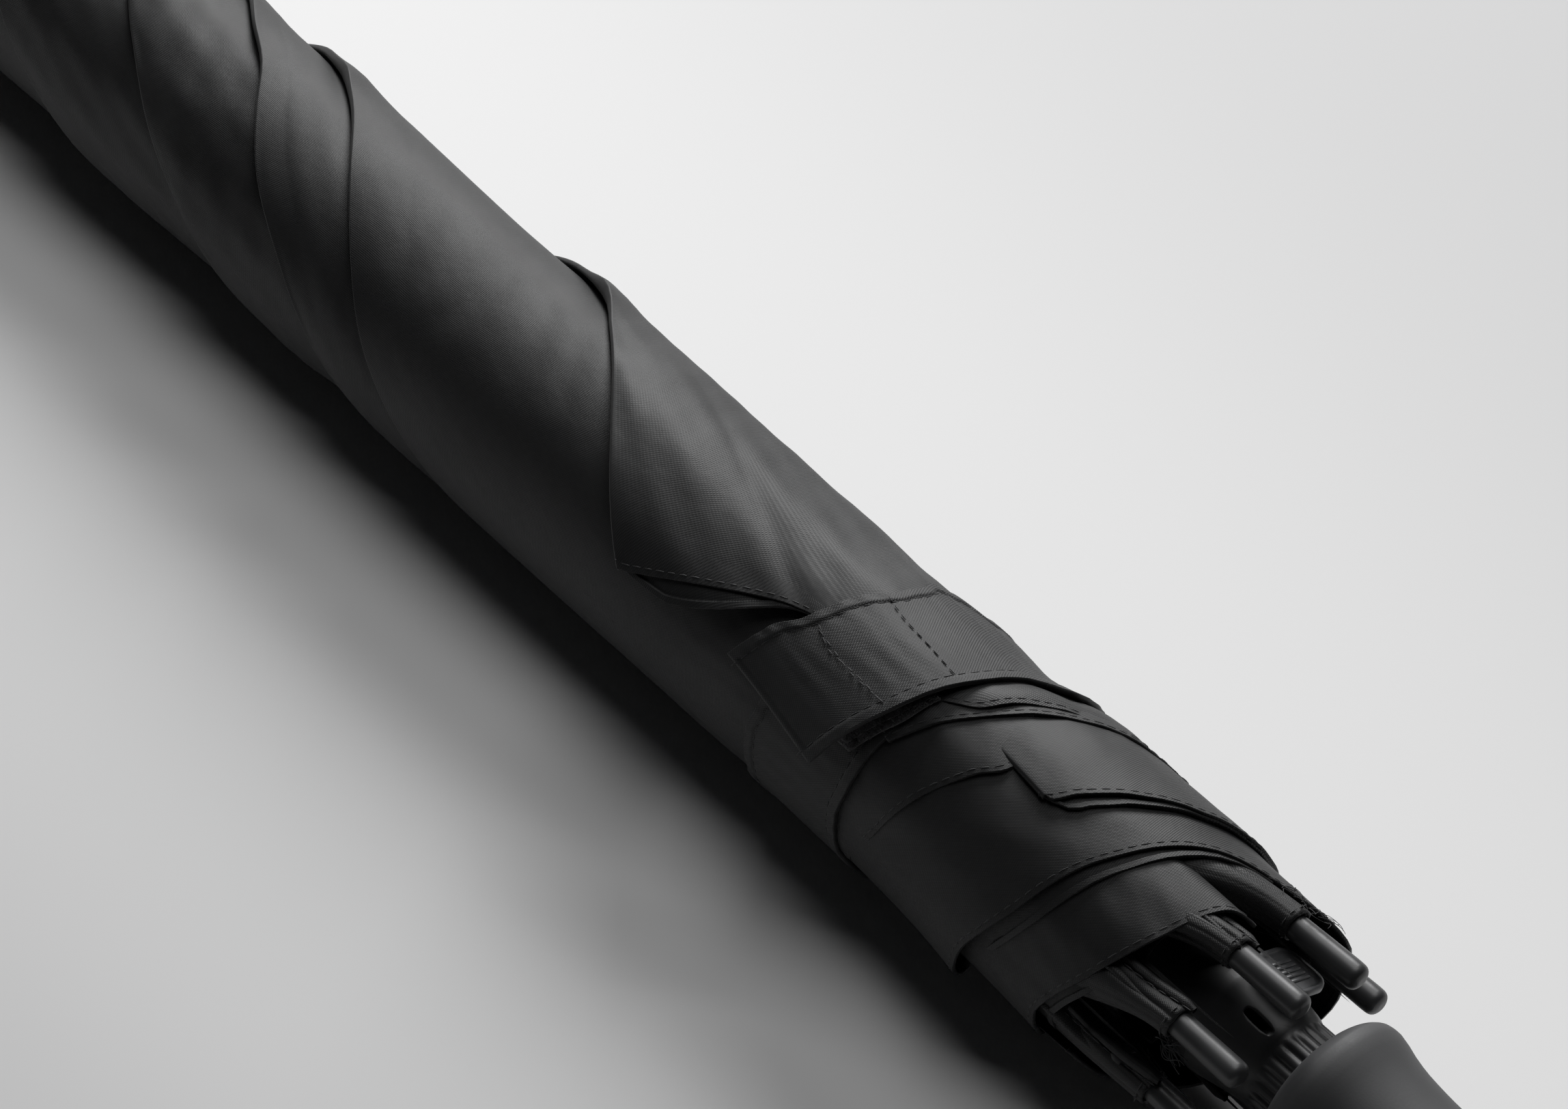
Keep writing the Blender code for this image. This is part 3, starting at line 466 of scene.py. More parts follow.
# the canopy's pleats: doubled cloth with a fold at its leading edge, laid over the next
bundle = {"crown": 0.068, "foldRadius": 0.0007, "sink": 0.0024, "tuck": 22.0, "rowSteps": (0.004, 0.0015),
          "clothThickness": 0.0003, "hemThickness": 0.0008, "hemWidth": 0.0014, "hemStitch": 0.00125,
          "hemRegion": 0.0062, "lipFade": 0.014, "foldShare": 0.22, "rollRadius": 0.0305, "weaveSlope": 36.8,
          "bend": [165, 135, 105, 75, 45, 15]}
bundleRadius = through([(68, 0.0152), (90, 0.0186), (130, 0.0228), (190, 0.0268), (260, 0.0295), (330, 0.0307),
                        (400, 0.0310), (560, 0.0310), (610, 0.0307), (630, 0.0299), (645, 0.0291), (700, 0.0290)])
foldLines = {
    "A": [(68, 330), (200, 180), (300, 64), (361, -17), (378, -37), (395, -59), (408, -75), (419, -92),
          (450, -133), (490, -185), (530, -225), (580, -243), (665, -252)],
    "B": [(68, 392), (200, 244), (300, 129), (370, 42), (387, 21), (405, 3), (417, -15), (432, -37), (452, -61),
          (474, -96), (520, -158), (570, -208), (610, -228), (665, -238)],
    "C": [(68, 441), (200, 300), (300, 186), (350, 116), (400, 52), (416, 36), (433, 17), (452, -9), (472, -38),
          (490, -69), (508, -97), (550, -152), (600, -196), (665, -222)],
    "D": [(68, 585), (200, 445), (300, 328), (400, 194), (450, 124), (495, 66), (513, 45), (522, 36), (531, 23),
          (551, -6), (569, -33), (583, -59)],
}
foldEdge = {key: through(points) for key, points in foldLines.items()}
hiddenFar = through([(68, 585), (200, 445), (300, 328), (400, 194), (450, 124), (495, 66), (531, 26), (551, 14),
                     (583, 12), (665, 20)])

strapEdge = [(-421, 653), (-408, 656), (-400, 658), (-389, 661), (-380, 663), (-373, 664.5), (-365, 666.3),
             (-357, 668), (-346, 670), (-336, 672.4), (-326, 676), (-316, 679), (-300, 680), (-270, 680), (-240, 677),
             (-210, 673), (-180, 669), (-150, 665), (-117, 661), (-104, 659), (-83, 659), (-70, 660), (-49, 661),
             (-37, 662), (-26, 663), (-16, 665), (-2, 668), (6, 669), (16, 671), (29, 675), (44, 680), (60, 683),
             (80, 686)]
strapLower = through([(a * 1000.0, s) for a, s in strapEdge])


def underStrap(angle):
    # the place under the middle of the strap's first turn
    first = (np.asarray(angle, float) + 270) % 360 - 270
    return (strapLower(first) - 15) * millimetre


def hemRows(length, spacing=0.0028):
    # distances from the hem, close together over the hem and its stitch line
    near = np.array([0, 0.1, 0.35, 0.7, 1.0, 1.25, 1.4, 1.55, 1.9, 2.7, 4.2, 6.2]) * millimetre
    rest = np.linspace(near[-1], length, max(3, int(length / spacing)))[1:]
    return np.concatenate([near, rest])


def pleat(name, top, hem, radius, helix=None, underShare=0.45, underHem=0.0, lip=(0.03, 0.1, 0.2),
          lipAside=0.0, rise=0.0, drop=0.0, mouthTo=0.4, mouthDepth=0.018,
          sink=None, sinkAt=0.8, columns=54, spacing=0.0028, hemmed=True, uneven=None,
          foldLift=None, liftUnder=lambda place: 0.2, fine=(0, 0), material=None):
    # top and hem are lines of (mm, degrees) from the fold on; helix gives the angles of the fold and of the far side
    # from the crown to where the top line lies. underHem is how far the under layer's hem shows, lip over which shares
    # of the width (rising, from, fading) and lipAside how far it turns; rise and drop open the mouth at the fold, and
    # foldLift lifts the fold, liftUnder of it for the layer below. Rows lie closer between the two places in fine.
    sink = bundle["sink"] if sink is None else sink
    rho = bundle["foldRadius"]
    outer = np.linspace(0, 1, columns) ** 1.25
    under = (np.linspace(1, 0, columns // 3, endpoint=False) ** 1.2) * underShare
    bend = np.radians(bundle["bend"])
    hemRegion, foldShare = bundle["hemRegion"], bundle["foldShare"]
    share = np.concatenate([under, np.zeros(len(bend)), outer])
    turn = np.concatenate([np.full(len(under), np.pi), bend, np.zeros(len(outer))])
    lower = (1 - np.cos(turn)) / 2
    topPlace, topAngle = alongLine(top, share)
    hemPlace, hemAngle = alongLine(hem, share)
    shown = lower * smooth(share / lip[0]) * (1 - smooth((share - lip[1]) / lip[2]))
    hemPlace = hemPlace + underHem * shown
    depth = np.maximum(hemPlace - topPlace, 0.0004)
    length = float(depth.max())
    distances = hemRows(length, spacing)
    near = np.minimum(hemRegion, 0.6 * depth)
    place, angle = [], []
    for distance in distances[::-1]:
        if distance <= hemRegion:
            at = hemPlace - distance / hemRegion * near
        else:
            at = hemPlace - near - (depth - near) * (distance - hemRegion) / (length - hemRegion)
        run = (at - topPlace) / depth
        place.append(at)
        fading = smooth(1 - (hemPlace - at) / bundle["lipFade"])
        angle.append(topAngle + (hemAngle - topAngle) * run - lipAside * shown * fading)
    if helix:
        edge, far = helix
        at = topPlace.min() - 0.004
        while at > bundle["crown"]:
            place.insert(0, at + 0 * share)
            angle.insert(0, edge(at) + share * (far(at) - edge(at)))
            at -= bundle["rowSteps"][bool(fine[0] < at < fine[1])]
    place, angle = np.array(place), np.array(angle)
    back = np.maximum(hemPlace - place, 0)
    opened = np.clip(1 - (share / mouthTo) ** 2, 0, 1) * np.exp(-back / mouthDepth)
    half = rho + (rise + drop) / 2 * opened
    sunk = sink(place) if callable(sink) else sink
    centre = radius(place) - rho + (rise - drop) / 2 * opened - sunk * smooth(share / sinkAt) ** 1.2
    size = centre + half * np.cos(turn)
    if uneven is not None:
        size = size + uneven(place, angle) * smooth(share / 0.05 + 0.15)
    if foldLift is not None:
        folded = np.clip(1 - share / foldShare, 0, 1)
        size = size + foldLift(place) * folded * (1 - (1 - liftUnder(place)) * lower)
    sideways = np.degrees(half * np.sin(turn) / size)
    points = onBundle(place, angle - sideways, size)
    arc = np.concatenate([np.zeros((len(place), 1)), np.cumsum(np.abs(np.diff(angle, axis=1)), 1)], 1)
    arc = np.radians(np.abs(arc - arc[:, len(under):len(under) + 1])) * bundle["rollRadius"]
    slope = math.radians(bundle["weaveSlope"])
    uv = np.stack([place / math.cos(slope) - arc * math.sin(slope),
                   np.where(lower > 0.5, -1, 1) * arc * math.cos(slope)], -1)
    piece = gridPiece(name, points, material or cloth, uv)
    if hemmed:
        giveThickness(piece, bundle["hemThickness"], (back < bundle["hemWidth"]).ravel(),
                      bundle["clothThickness"] / bundle["hemThickness"])
    else:
        giveThickness(piece, bundle["clothThickness"])
    line = len(place) - 1 - int(np.argmin(np.abs(distances - bundle["hemStitch"])))
    return piece, points[line]


wrinkles = {"depth": 0.00040, "width": 0.0045, "lines": [
    [(477, 8), (479, -10), (480, -26)], [(488, 30), (492, 8), (492, -12), (487, -30)],
    [(498, 28), (504, 2), (505, -18), (502, -36)], [(509, 22), (521, 3), (526, -15), (527, -33)],
    [(528, 14), (536, -5), (541, -22)]]}


def wrinkled(place, angle):
    # soft hollows that run round the roll where the cloth was pulled tight
    total = 0
    for k, line in enumerate(wrinkles["lines"]):
        at, turn = np.array(line[::-1], float).T
        middle, half = (turn[0] + turn[-1]) / 2, (turn[-1] - turn[0]) / 2 + 4
        away = (place - np.interp(angle, turn, at) * millimetre) / (wrinkles["width"] * (1 + 0.25 * (k % 2)))
        total = total - np.exp(-away ** 2 - ((angle - middle) / half) ** 4) * (1 - 0.25 * (k % 3 == 1))
    return wrinkles["depth"] * total


def strapBulge(place, angle):
    # the outer pleat swells out just below the strap
    below = place - strapLower(np.clip(angle, -60, 150) - 360) * millimetre - 0.0045
    return 0.0011 * np.exp(-(below / 0.0042) ** 2) * smooth((angle + 8) / 14) * (1 - 0.8 * smooth((angle - 25) / 30))


def rolledCloth(seed, soft=0.0004, gathers=0.0003, *more):
    # unevenness of a pleat: soft swells, gathers where the strap draws it in, and what else is given
    def height(place, angle):
        swell = soft * ripple(place, angle, seed)
        drawn = np.exp(-np.abs(place - underStrap(angle)) / 0.022)
        gather = gathers * drawn * ripple(place * 0.3, angle, seed + 120, long=0.05, wide=13.0)
        return swell + gather + sum(each(place, angle) for each in more)
    return height


clothPieces, stitchLines = [], []


def lineAt(place, first, last, count=7):
    return [(place * 1000 + 0.001 * i, a) for i, a in enumerate(np.linspace(first, last, count))]


def strapLine(first, last, count=9, shift=0.0):
    return [(float(underStrap(a)) * 1000 + shift, a) for a in np.linspace(first, last, count)]


def foldRise(first, last, size=0.0009):
    return lambda place: size * smooth((place - first) / 0.02) * (1 - smooth((place - last) / 0.04))


pleatShapes = {
    "A": dict(uneven=rolledCloth(65, 0.0005, 0.0003), underShare=0.5),
    "B": dict(uneven=rolledCloth(66, 0.0004, 0.0003), underShare=0.5, foldLift=foldRise(0.350, 0.440)),
    "C": dict(uneven=rolledCloth(67, 0.0001, 0.0005, wrinkled), underShare=0.35, columns=90, fine=(0.455, 0.560),
              foldLift=lambda s: foldRise(0.380, 0.470, 0.0010)(s) + 0.0012 * np.exp(-((s - 0.413) / 0.007) ** 2)),
    "D": dict(uneven=rolledCloth(68, 0.00045, 0.0003, strapBulge), underShare=0.30, columns=96, underHem=0.0088,
              lip=(0.035, 0.05, 0.20), lipAside=2.5, rise=0.0002, mouthTo=0.22, mouthDepth=0.030,
              sink=lambda s: 0.0024 - 0.0019 * smooth((s - 0.60) / 0.05),
              liftUnder=lambda s: 0.2 + 0.80 * smooth((s - 0.53) / 0.03),
              foldLift=lambda s: 0.0022 * np.exp(-((s - 0.516) / 0.008) ** 2)
              + 0.0060 * smooth((s - 0.528) / 0.06) * (1 - smooth((s - 0.626) / 0.02))),
}
for key, follower in (("A", "B"), ("B", "C"), ("C", None)):
    edge, after = foldEdge[key], foldEdge.get(follower, hiddenFar)
    far = lambda s: after(s) + bundle["tuck"]
    top = lineAt(0.60, float(edge(0.60)), float(far(0.60)))
    hem = strapLine(float(edge(0.655)), float(far(0.655)))
    piece, _ = pleat("canopyPleat" + key, top, hem, bundleRadius, helix=(edge, far), hemmed=False, **pleatShapes[key])
    clothPieces.append(piece)
    if key == "A":
        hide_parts("canopy_wrap")
edge = foldEdge["D"]
far = lambda s: foldEdge["A"](s) + 360 + bundle["tuck"]
overStrap = lambda s: bundleRadius(s) + 0.0018 * smooth((s - 0.612) / 0.03)
hem = [(586.5, -55), (588.5, -54.5), (592, -52), (600, -45.5), (609.5, -37), (619.5, -27.5), (625.5, -23), (632, -20.5),
       (642, -20), (656, -18), (664, -14), (669, -9), (673, -4), (676.5, 8), (681, 20), (687, 33), (693, 45), (698, 57),
       (704, 72), (703, 95), (692, 112), (676, 124), (664, 134)]
piece, line = pleat("canopyPleatD", lineAt(0.530, float(edge(0.530)), float(far(0.530))), hem, overStrap,
                    helix=(edge, far), **pleatShapes["D"])
stitchLines.append(line)
clothPieces.append(piece)
print("pleats rolled")

# the ends of the pleats below the strap: what an end leaves out is in plainEnd
plainEnd = dict(starts=0.665, curl=0.0, mouthTo=0.01, rise=0.0, drop=0.0, underHem=0.0, lip=(1, 1, 1), lipAside=1.0,
                sink=0.0)
endParts = {
    "E": dict(top=[(650, -4), (655, 12), *strapLine(45, 170, 6)],
              hem=[(697.5, -14), (699.2, -13.5), (700.5, -10.5), (701.8, -6), (704.3, 0), (707, 7), (710, 13.5),
                   (715.5, 26), (719, 33), (723, 45), (728, 60), (731, 80), (730, 110), (720, 135), (700, 155),
                   (680, 168)],
              inner=0.0292, outer=0.0303, starts=0.676, mouthTo=0.30, rise=0.0003, underHem=0.0036,
              lipAside=-1.0, lip=(0.03, 0.04, 0.28), sink=0.0006),
    "L": dict(top=strapLine(-38, 66), inner=0.0302, outer=0.0305,
              hem=[(663, -38), (667, -25), (671, -14), (674.4, -6), (676.7, 0), (681, 12), (684.8, 22), (687.6, 29),
                   (691, 37), (695, 46), (699, 54), (705, 66)]),
    "K": dict(top=strapLine(-150, 50), inner=0.0292, outer=0.0296,
              hem=[(656, -152), (660, -130), (661, -117), (662, -108), (665, -94), (669, -80), (672, -65), (675, -51),
                   (678, -40), (681, -31), (683, -25), (687, -16), (689, 5), (691, 30), (692, 50)]),
    "G": dict(top=strapLine(-112, 238, 14, -2.0),
              hem=[(695, -122), (697, -108), (700, -88), (704, -72), (707.5, -57), (711.5, -36), (714.5, -22),
                   (717.5, -11), (721.2, 3), (725.5, 17), (730.3, 29), (736, 39), (743, 48), (749.5, 60), (754, 78),
                   (754, 110), (749, 150), (742, 190), (734, 218), (728, 246)],
              inner=0.0288, outer=0.0288, mouthTo=0.17, rise=0.0032, drop=0.0010, underHem=0.0045,
              lip=(0.03, 0.175, 0.35), sink=0.0008),
    "H": dict(top=[(680 + 0.001 * i, -116 + 131 * i / 8) for i in range(9)],
              hem=[(718, -123), (719, -99), (722, -83), (727.5, -62), (731, -47), (735, -27), (737.5, -11), (740, 3),
                   (742.5, 10), (745, 15)],
              curl=0.0030, inner=0.0278, outer=0.0274, mouthTo=0.30, rise=0.0018, drop=0.0006, underHem=0.0030,
              lip=(0.03, 0.42, 0.84), sink=0.0002),
}


def curledEnd(size):
    # the end of a pleat turned in towards the tip it is gathered to
    return lambda place, angle: -size * np.clip((angle - 3) / 12, 0, 1) ** 2


for key, given in endParts.items():
    part = {**plainEnd, **given}
    top, hem, inner, outer, starts, curl = (part.pop(k) for k in ("top", "hem", "inner", "outer", "starts", "curl"))
    size = lambda s: inner + (outer - inner) * smooth((s - starts) / 0.02) - 0.0009 * smooth((s - 0.718) / 0.035)
    piece, line = pleat("pleatEnd" + key, top, hem, size, sinkAt=0.95, columns=80, spacing=0.0016,
                        uneven=rolledCloth(ord(key), 0.0003, 0.00025, curledEnd(curl)), **part)
    stitchLines.append(line)
    clothPieces.append(piece)

# inner cloth, and the hem drawn to the rib tips
skirt = {"tipPlace": 0.7485, "dipPlace": 0.733, "tipRadius": 0.0262, "dipRadius": 0.0195, "begin": 0.655,
         "beginRadius": 0.0266, "crease": 0.0005, "lean": 7, "thickness": 0.0005}
roll = {"begin": 0.070, "length": 0.590, "inside": 0.0048, "thickness": 0.0004}


def innerPiece(name, place, around, size, thickness):
    # a closed tube of the inner cloth, and the points of its rows
    points = onBundle(place, around, size)
    uv = np.stack([place, np.radians(around) * 0.025 + 0 * place], -1)
    clothPieces.append(giveThickness(gridPiece(name, points, shadedInnerCloth, uv, closed=True), thickness))
    return points


around = np.linspace(-180, 180, 361)[:-1]
lean = skirt["lean"] * np.sin(np.radians(8 * (around + 5)))
nearest = np.min([np.abs((around + lean - a + 180) % 360 - 180) for a in ribAngles], axis=0) / 22.5
rows = np.linspace(0, 1, 46)[:, None]
lowest = skirt["tipPlace"] + (skirt["dipPlace"] - skirt["tipPlace"]) * smooth(nearest * 1.1)
place = skirt["begin"] + (lowest - skirt["begin"]) * rows ** 0.9
falling = smooth((rows - 0.35) / 0.65)
endRadius = skirt["tipRadius"] + (skirt["dipRadius"] - skirt["tipRadius"]) * smooth(nearest * 1.2)
creased = skirt["crease"] * np.sin(np.radians(around * 16) + 3 * rows) * falling
size = skirt["beginRadius"] * (1 - falling) + endRadius * falling + creased \
    + 0.0005 * ripple(place, around, 5, 0.03, 20)
points = innerPiece("innerSkirt", place, around, size, skirt["thickness"])
stitchLines.append(np.concatenate([points[-4], points[-4][:1]]))
around = around[::3]
place = (roll["begin"] + roll["length"] * np.linspace(0, 1, 90))[:, None] + 0 * around
size = bundleRadius(place) - roll["inside"] + 0.0005 * ripple(place, around + place * 1400, 8)
innerPiece("innerRoll", place, around, size, roll["thickness"])


def meshArea(piece):
    return sum(p.area for p in piece.data.polygons) / 2


def drawUp(piece):
    # the furled cloth is carried on the root body, with a mesh of its own
    carried(piece, "root")
    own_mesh(piece)


for piece in clothPieces:
    alongIt = 0.10 if "End" in piece.name or "Skirt" in piece.name else 0.55
    meshArea(piece) / alongIt
    drawUp(piece)
drawUp(sew("canopyStitches", stitchLines))
print("pleat ends and inner cloth made")

# the tie strap: one band that goes round once, and its loose tab; since names the degrees round the roll where the band
# starts to change, and over how many degrees
strap = {"width": 0.0293, "inner": 0.0304, "outer": 0.0321, "overTape": 0.0330, "thickness": 0.0012, "thin": 0.62,
         "lift": 0.0040, "slant": 8.0, "edge": 0.08,
         "since": {"outer": (235, 70), "tape": (345, 28), "lift": (350, 75), "slant": (385, 36), "end": (419.2, 0.4)}}
hinge = [tuple(at) for at in onBundle([0.66, 0.66], [30, 24], [0.0328, 0.0328])]


def since(key, angle):
    begin, over = strap["since"][key]
    return smooth((-angle - begin) / over)


def tabLifted(angle, across):
    return since("lift", angle) * (0.45 + 0.55 * across ** 2)


def strapBand(name, first, last, material, steps, tabLift=0.0):
    # angle runs down from first to last; the band keeps its width square to its own run
    angle = np.linspace(last, first, steps)
    lowerPlace = strapLower(angle) * millimetre
    lean = np.gradient(lowerPlace, np.radians(angle) * bundle["rollRadius"])
    width = strap["width"] * np.sqrt(1 + lean ** 2)
    across = np.array([0, 0.004, 0.02, 0.05, 0.075, 0.083, 0.09, 0.12, 0.2, 0.35, 0.5, 0.65, 0.8, 0.88, 0.91, 0.917,
                       0.925, 0.95, 0.98, 0.996, 1])[:, None]
    place = lowerPlace - width * (1 - across)
    rise = strap["inner"] + (strap["outer"] - strap["inner"]) * since("outer", angle) \
        + (strap["overTape"] - strap["outer"]) * since("tape", angle)
    edgeBand = np.maximum((across < strap["edge"]) | (across > 1 - strap["edge"]), since("end", angle))
    size = rise + (edgeBand * 0.0003 - 0.0002) + tabLift * tabLifted(angle, across) \
        + 0.0002 * ripple(place, angle, 21, 0.03, 16)
    points = onBundle(place, angle + strap["slant"] * (1 - across) * since("slant", angle), size)
    uv = np.stack([np.radians(angle) * 0.031 + 0 * place, place - lowerPlace], -1)
    piece = gridPiece(name, points, material, uv)
    giveThickness(piece, strap["thickness"], edgeBand, strap["thin"])
    return piece, [points[6], points[-7]], meshArea(piece)


strapRing, ringLines, ringArea = strapBand("strapRing", 80, -330, litStrapCloth, 300)
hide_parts("tie_strap")
ringArea / strap["width"]
drawUp(strapRing)
drawUp(sew("ringStitches", ringLines))

strapTab, tabLines, tabArea = strapBand("strapTab", -330, -421, litStrapCloth, 130, tabLift=strap["lift"])
crossLines = []
for line in ([(635, -24), (641, -28), (649, -28), (657, -29)], [(636, -25), (642, -27), (650, -29), (658, -29)],
             [(639, 4), (646, 1), (655, -1), (663, -3)]):
    place, angle = alongLine(line, 24)
    rise = strap["outer"] + (strap["overTape"] - strap["outer"]) * since("tape", angle - 360) + 0.0001
    lifted = strap["lift"] * tabLifted(angle - 360, np.linspace(0.1, 0.95, len(place)))
    crossLines.append(onBundle(place, angle, rise + lifted))
tabStitches = sew("tabStitches", tabLines + crossLines)
for piece in (strapTab, tabStitches):
    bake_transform(piece)
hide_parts("tie_strap_tab")
tabArea / strap["width"]


# the loop tape's pile: loops and stray fibres standing on a strip of tape
pile = {"loops": 1500, "loopSize": 0.0011, "fibre": 0.00007}
tapeArea, tapeBelow = 0.0009, 0.0021


def pileParts(given, add):
    density = add("ShaderNodeMath", {0: given["loops"], 1: tapeArea}, operation="DIVIDE")
    points = add("GeometryNodeDistributePointsOnFaces",
                 {"Mesh": given["base"], "Density": density, "Seed": given["seed"]})
    thin = add("ShaderNodeMath", {0: given["fibre"], 1: given["loopSize"]}, operation="DIVIDE")
    loop = add("GeometryNodeCurvePrimitiveCircle", {"Resolution": 7, "Radius": 0.5})
    profile = add("GeometryNodeCurvePrimitiveCircle", {"Resolution": 3, "Radius": thin})
    solid = add("GeometryNodeCurveToMesh", {"Curve": loop, "Profile Curve": profile})
    tilt = add("FunctionNodeRandomValue", {1: (6.3, 6.3, 6.3), "Seed": given["seed"]}, data_type="FLOAT_VECTOR")
    vary = add("FunctionNodeRandomValue", {2: 0.5, 3: 1.1}, output=1)
    return points, solid, tilt, add("ShaderNodeMath", {0: vary, 1: given["loopSize"]}, operation="MULTIPLY")


def tapePatch(name, radius, first, last, thickness, below, width=0.026, lines=12):
    angle = np.linspace(first, last, 40)
    across = np.linspace(0, 1, lines)[:, None]
    lowerPlace = strapLower(angle - 360) * millimetre + below * (1 - 0.5 * smooth((angle + 30) / 16))
    place = lowerPlace - width * (1 - across)
    size = radius + 0.0001 * np.random.default_rng(4).uniform(-1, 1, place.shape)
    piece = gridPiece(name, onBundle(place, angle, size), tape)
    return giveThickness(piece, thickness) if thickness else piece


loopTape = tapePatch("loopTape", 0.0315, -52, -13, 0.0007, tapeBelow)
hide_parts("loop_patch")
drawUp(loopTape)
hookTape = tapePatch("hookTape", 0.0320, -50, -14, 0.0004, 0.0004)
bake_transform(hookTape)
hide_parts("hook_patch")
loops = tapePatch("tapeLoops", 0.0318, -51, -13, 0, tapeBelow + 0.0003, 0.0075, 5)
grow(loops, instancer("tape pile", pile, 5, pileParts), material=tape)
drawUp(loops)
print("strap made")

# sleeves of gathered cloth on the rib tips
sleeve = {"begin": 0.712, "radius": 0.0235, "tube": 0.0037, "wide": 0.0105, "tall": 0.0046, "lean": 20.0, "low": 0.0022,
          "hemTube": 0.0010, "crease": 0.0016, "thickness": 0.0006, "folds": 2, "fineFolds": 4.5, "fineDepth": 0.35,
          "mouths": [0.7480, 0.7480, 0.7490, 0.7500, 0.7495, 0.7500, 0.7490, 0.7485]}
sleeveShapes = {1: dict(low=0.0036), 2: dict(wide=0.0140, lean=30.0, low=0.0012, crease=0.0007),
                3: dict(wide=0.0110, lean=14.0, crease=0.0010), 8: dict(crease=0.0011)}


def sleeveSurface(number, ribAngle, t, turn, swell=0.0):
    shape = {**sleeve, **sleeveShapes.get(number, {})}
    narrow = smooth(t * 1.15) ** 0.8
    fold = 1 - np.abs(np.sin(turn * shape["folds"] + number * 1.3 + 1.6 * t))
    fine = 1 - np.abs(np.sin(turn * shape["fineFolds"] + number * 2.1))
    crease = fold ** 3 * (1 - 0.55 * t) + shape["fineDepth"] * fine ** 3 * t * (1.3 - t)
    wide = shape["wide"] + (shape["tube"] - shape["wide"]) * narrow
    tall = shape["tall"] + (shape["tube"] - shape["tall"]) * narrow
    outward = shape["radius"] + (tall - shape["crease"] * crease) * np.cos(turn) - shape["low"] * (1 - narrow) \
        + swell * np.cos(turn)
    aside = (wide - shape["crease"] * crease) * np.sin(turn) + swell * np.sin(turn)
    around = ribAngle + np.degrees(aside / shape["radius"]) - shape["lean"] * (1 - t) ** 1.4
    place = shape["begin"] + (shape["mouths"][number - 1] - shape["begin"]) * t
    return place, around, outward


def tube(name, line, radius, material, sides=7):
    # a thin roll of cloth along a line of points
    line = np.array(line)
    ahead = np.gradient(line, axis=0)
    ahead /= np.linalg.norm(ahead, axis=1)[:, None]
    first = np.cross(ahead, [0.3, 0.2, 1.0])
    first /= np.linalg.norm(first, axis=1)[:, None]
    second = np.cross(ahead, first)
    turn = np.arange(sides) * 2 * np.pi / sides
    size = np.broadcast_to(radius, len(line))[:, None, None]
    points = line[:, None, :] + size * (np.cos(turn)[None, :, None] * first[:, None, :]
                                        + np.sin(turn)[None, :, None] * second[:, None, :])
    run = np.linspace(0, 1, len(line))[:, None]
    uv = np.stack([run * 0.03 + 0 * turn, 0 * run + turn * np.max(radius)], -1)
    return gridPiece(name, points, material, uv, closed=True)


for number, ribAngle in enumerate(ribAngles, 1):
    t = np.linspace(0, 1, 40)[:, None]
    turn = np.linspace(0, 2 * np.pi, 96, endpoint=False)[None, :]
    place, around, outward = sleeveSurface(number, ribAngle, t + 0 * turn, turn + 0 * t)
    uv = np.stack([place, turn * 0.006 + 0 * t], -1)
    piece = gridPiece(f"tipSleeve_{number}", onBundle(place, around, outward), cloth, uv, closed=True)
    giveThickness(piece, sleeve["thickness"])
    carried(piece, f"rib_{number}")
    meshArea(piece) / 0.035
    # the web's hem, rolled up beside the sleeve and tacked at its mouth
    run = np.linspace(0.35, 1.0, 40)
    side = np.radians(62 + 26 * run)
    place, around, outward = sleeveSurface(number, ribAngle, run, side, sleeve["hemTube"] * 0.5)
    thick = sleeve["hemTube"] * (0.7 + 0.5 * run) * (1 - 0.45 * smooth((run - 0.94) / 0.06))
    hemRoll = tube(f"sleeveHem_{number}", onBundle(place + 0.0012 * run ** 6, around, outward), thick, cloth, 8)
    carried(closeMesh(hemRoll), f"rib_{number}")
    seam = onBundle(*sleeveSurface(number, ribAngle, run, side - 0.32, 0.0003))
    carried(sew(f"sleeveStitches_{number}", [seam]), f"rib_{number}")
    if number <= 2 or number >= 7:
        wrap = np.linspace(0, 2 * np.pi, 40)
        binding = onBundle(*sleeveSurface(number, ribAngle, 0.965 + 0 * wrap, wrap, 0.0002))
        carried(sew(f"mouthStitches_{number}", [binding]), f"rib_{number}")

# loose threads at two of the sleeves: how many, where they begin, how far they run, and how thick they are
looseEnds = {"looseThreads": dict(body="rib_2", count=20, place=(0.7395, 0.7525), angle=(40, 53), run=(-0.002, 0.004),
                                  turn=(-7, 6), radius=0.0276, thick=0.00007),
             "frayedThreads": dict(body="rib_8", count=16, place=(0.7455, 0.7490), angle=(-66, -57), run=(0.002, 0.007),
                                   turn=(-6, 1), radius=0.0238, thick=0.00012)}
chance = np.random.default_rng(12)
for name, ends in looseEnds.items():
    joined = bmesh.new()
    for k in range(ends["count"]):
        steps = np.linspace(0, 1, 14)
        curl = chance.uniform(-1, 1, 4)
        place = chance.uniform(*ends["place"]) + steps * chance.uniform(*ends["run"]) \
            + 0.0011 * np.sin(steps * 7 * curl[0] + curl[1] * 3)
        around = chance.uniform(*ends["angle"]) + steps * chance.uniform(*ends["turn"]) \
            + 3 * np.sin(steps * 6 * curl[2])
        outward = ends["radius"] + 0.0009 * np.sin(np.pi * steps) * chance.uniform(0.2, 1.0)
        fray = tube("fray", onBundle(place, around, outward), ends["thick"], thread, 4)
        joined.from_mesh(fray.data)
        bpy.data.objects.remove(fray)
    threads = newPiece(name, [], [], thread)
    joined.to_mesh(threads.data)
    joined.free()
    carried(closeMesh(threads), ends["body"])
print("tip sleeves made")

# the ribs' own directions, as the frame has them
ribs = {"pivotPlace": 0.080, "pivotRadius": 0.010, "lean": 1.1276, "capPlace": 0.658}


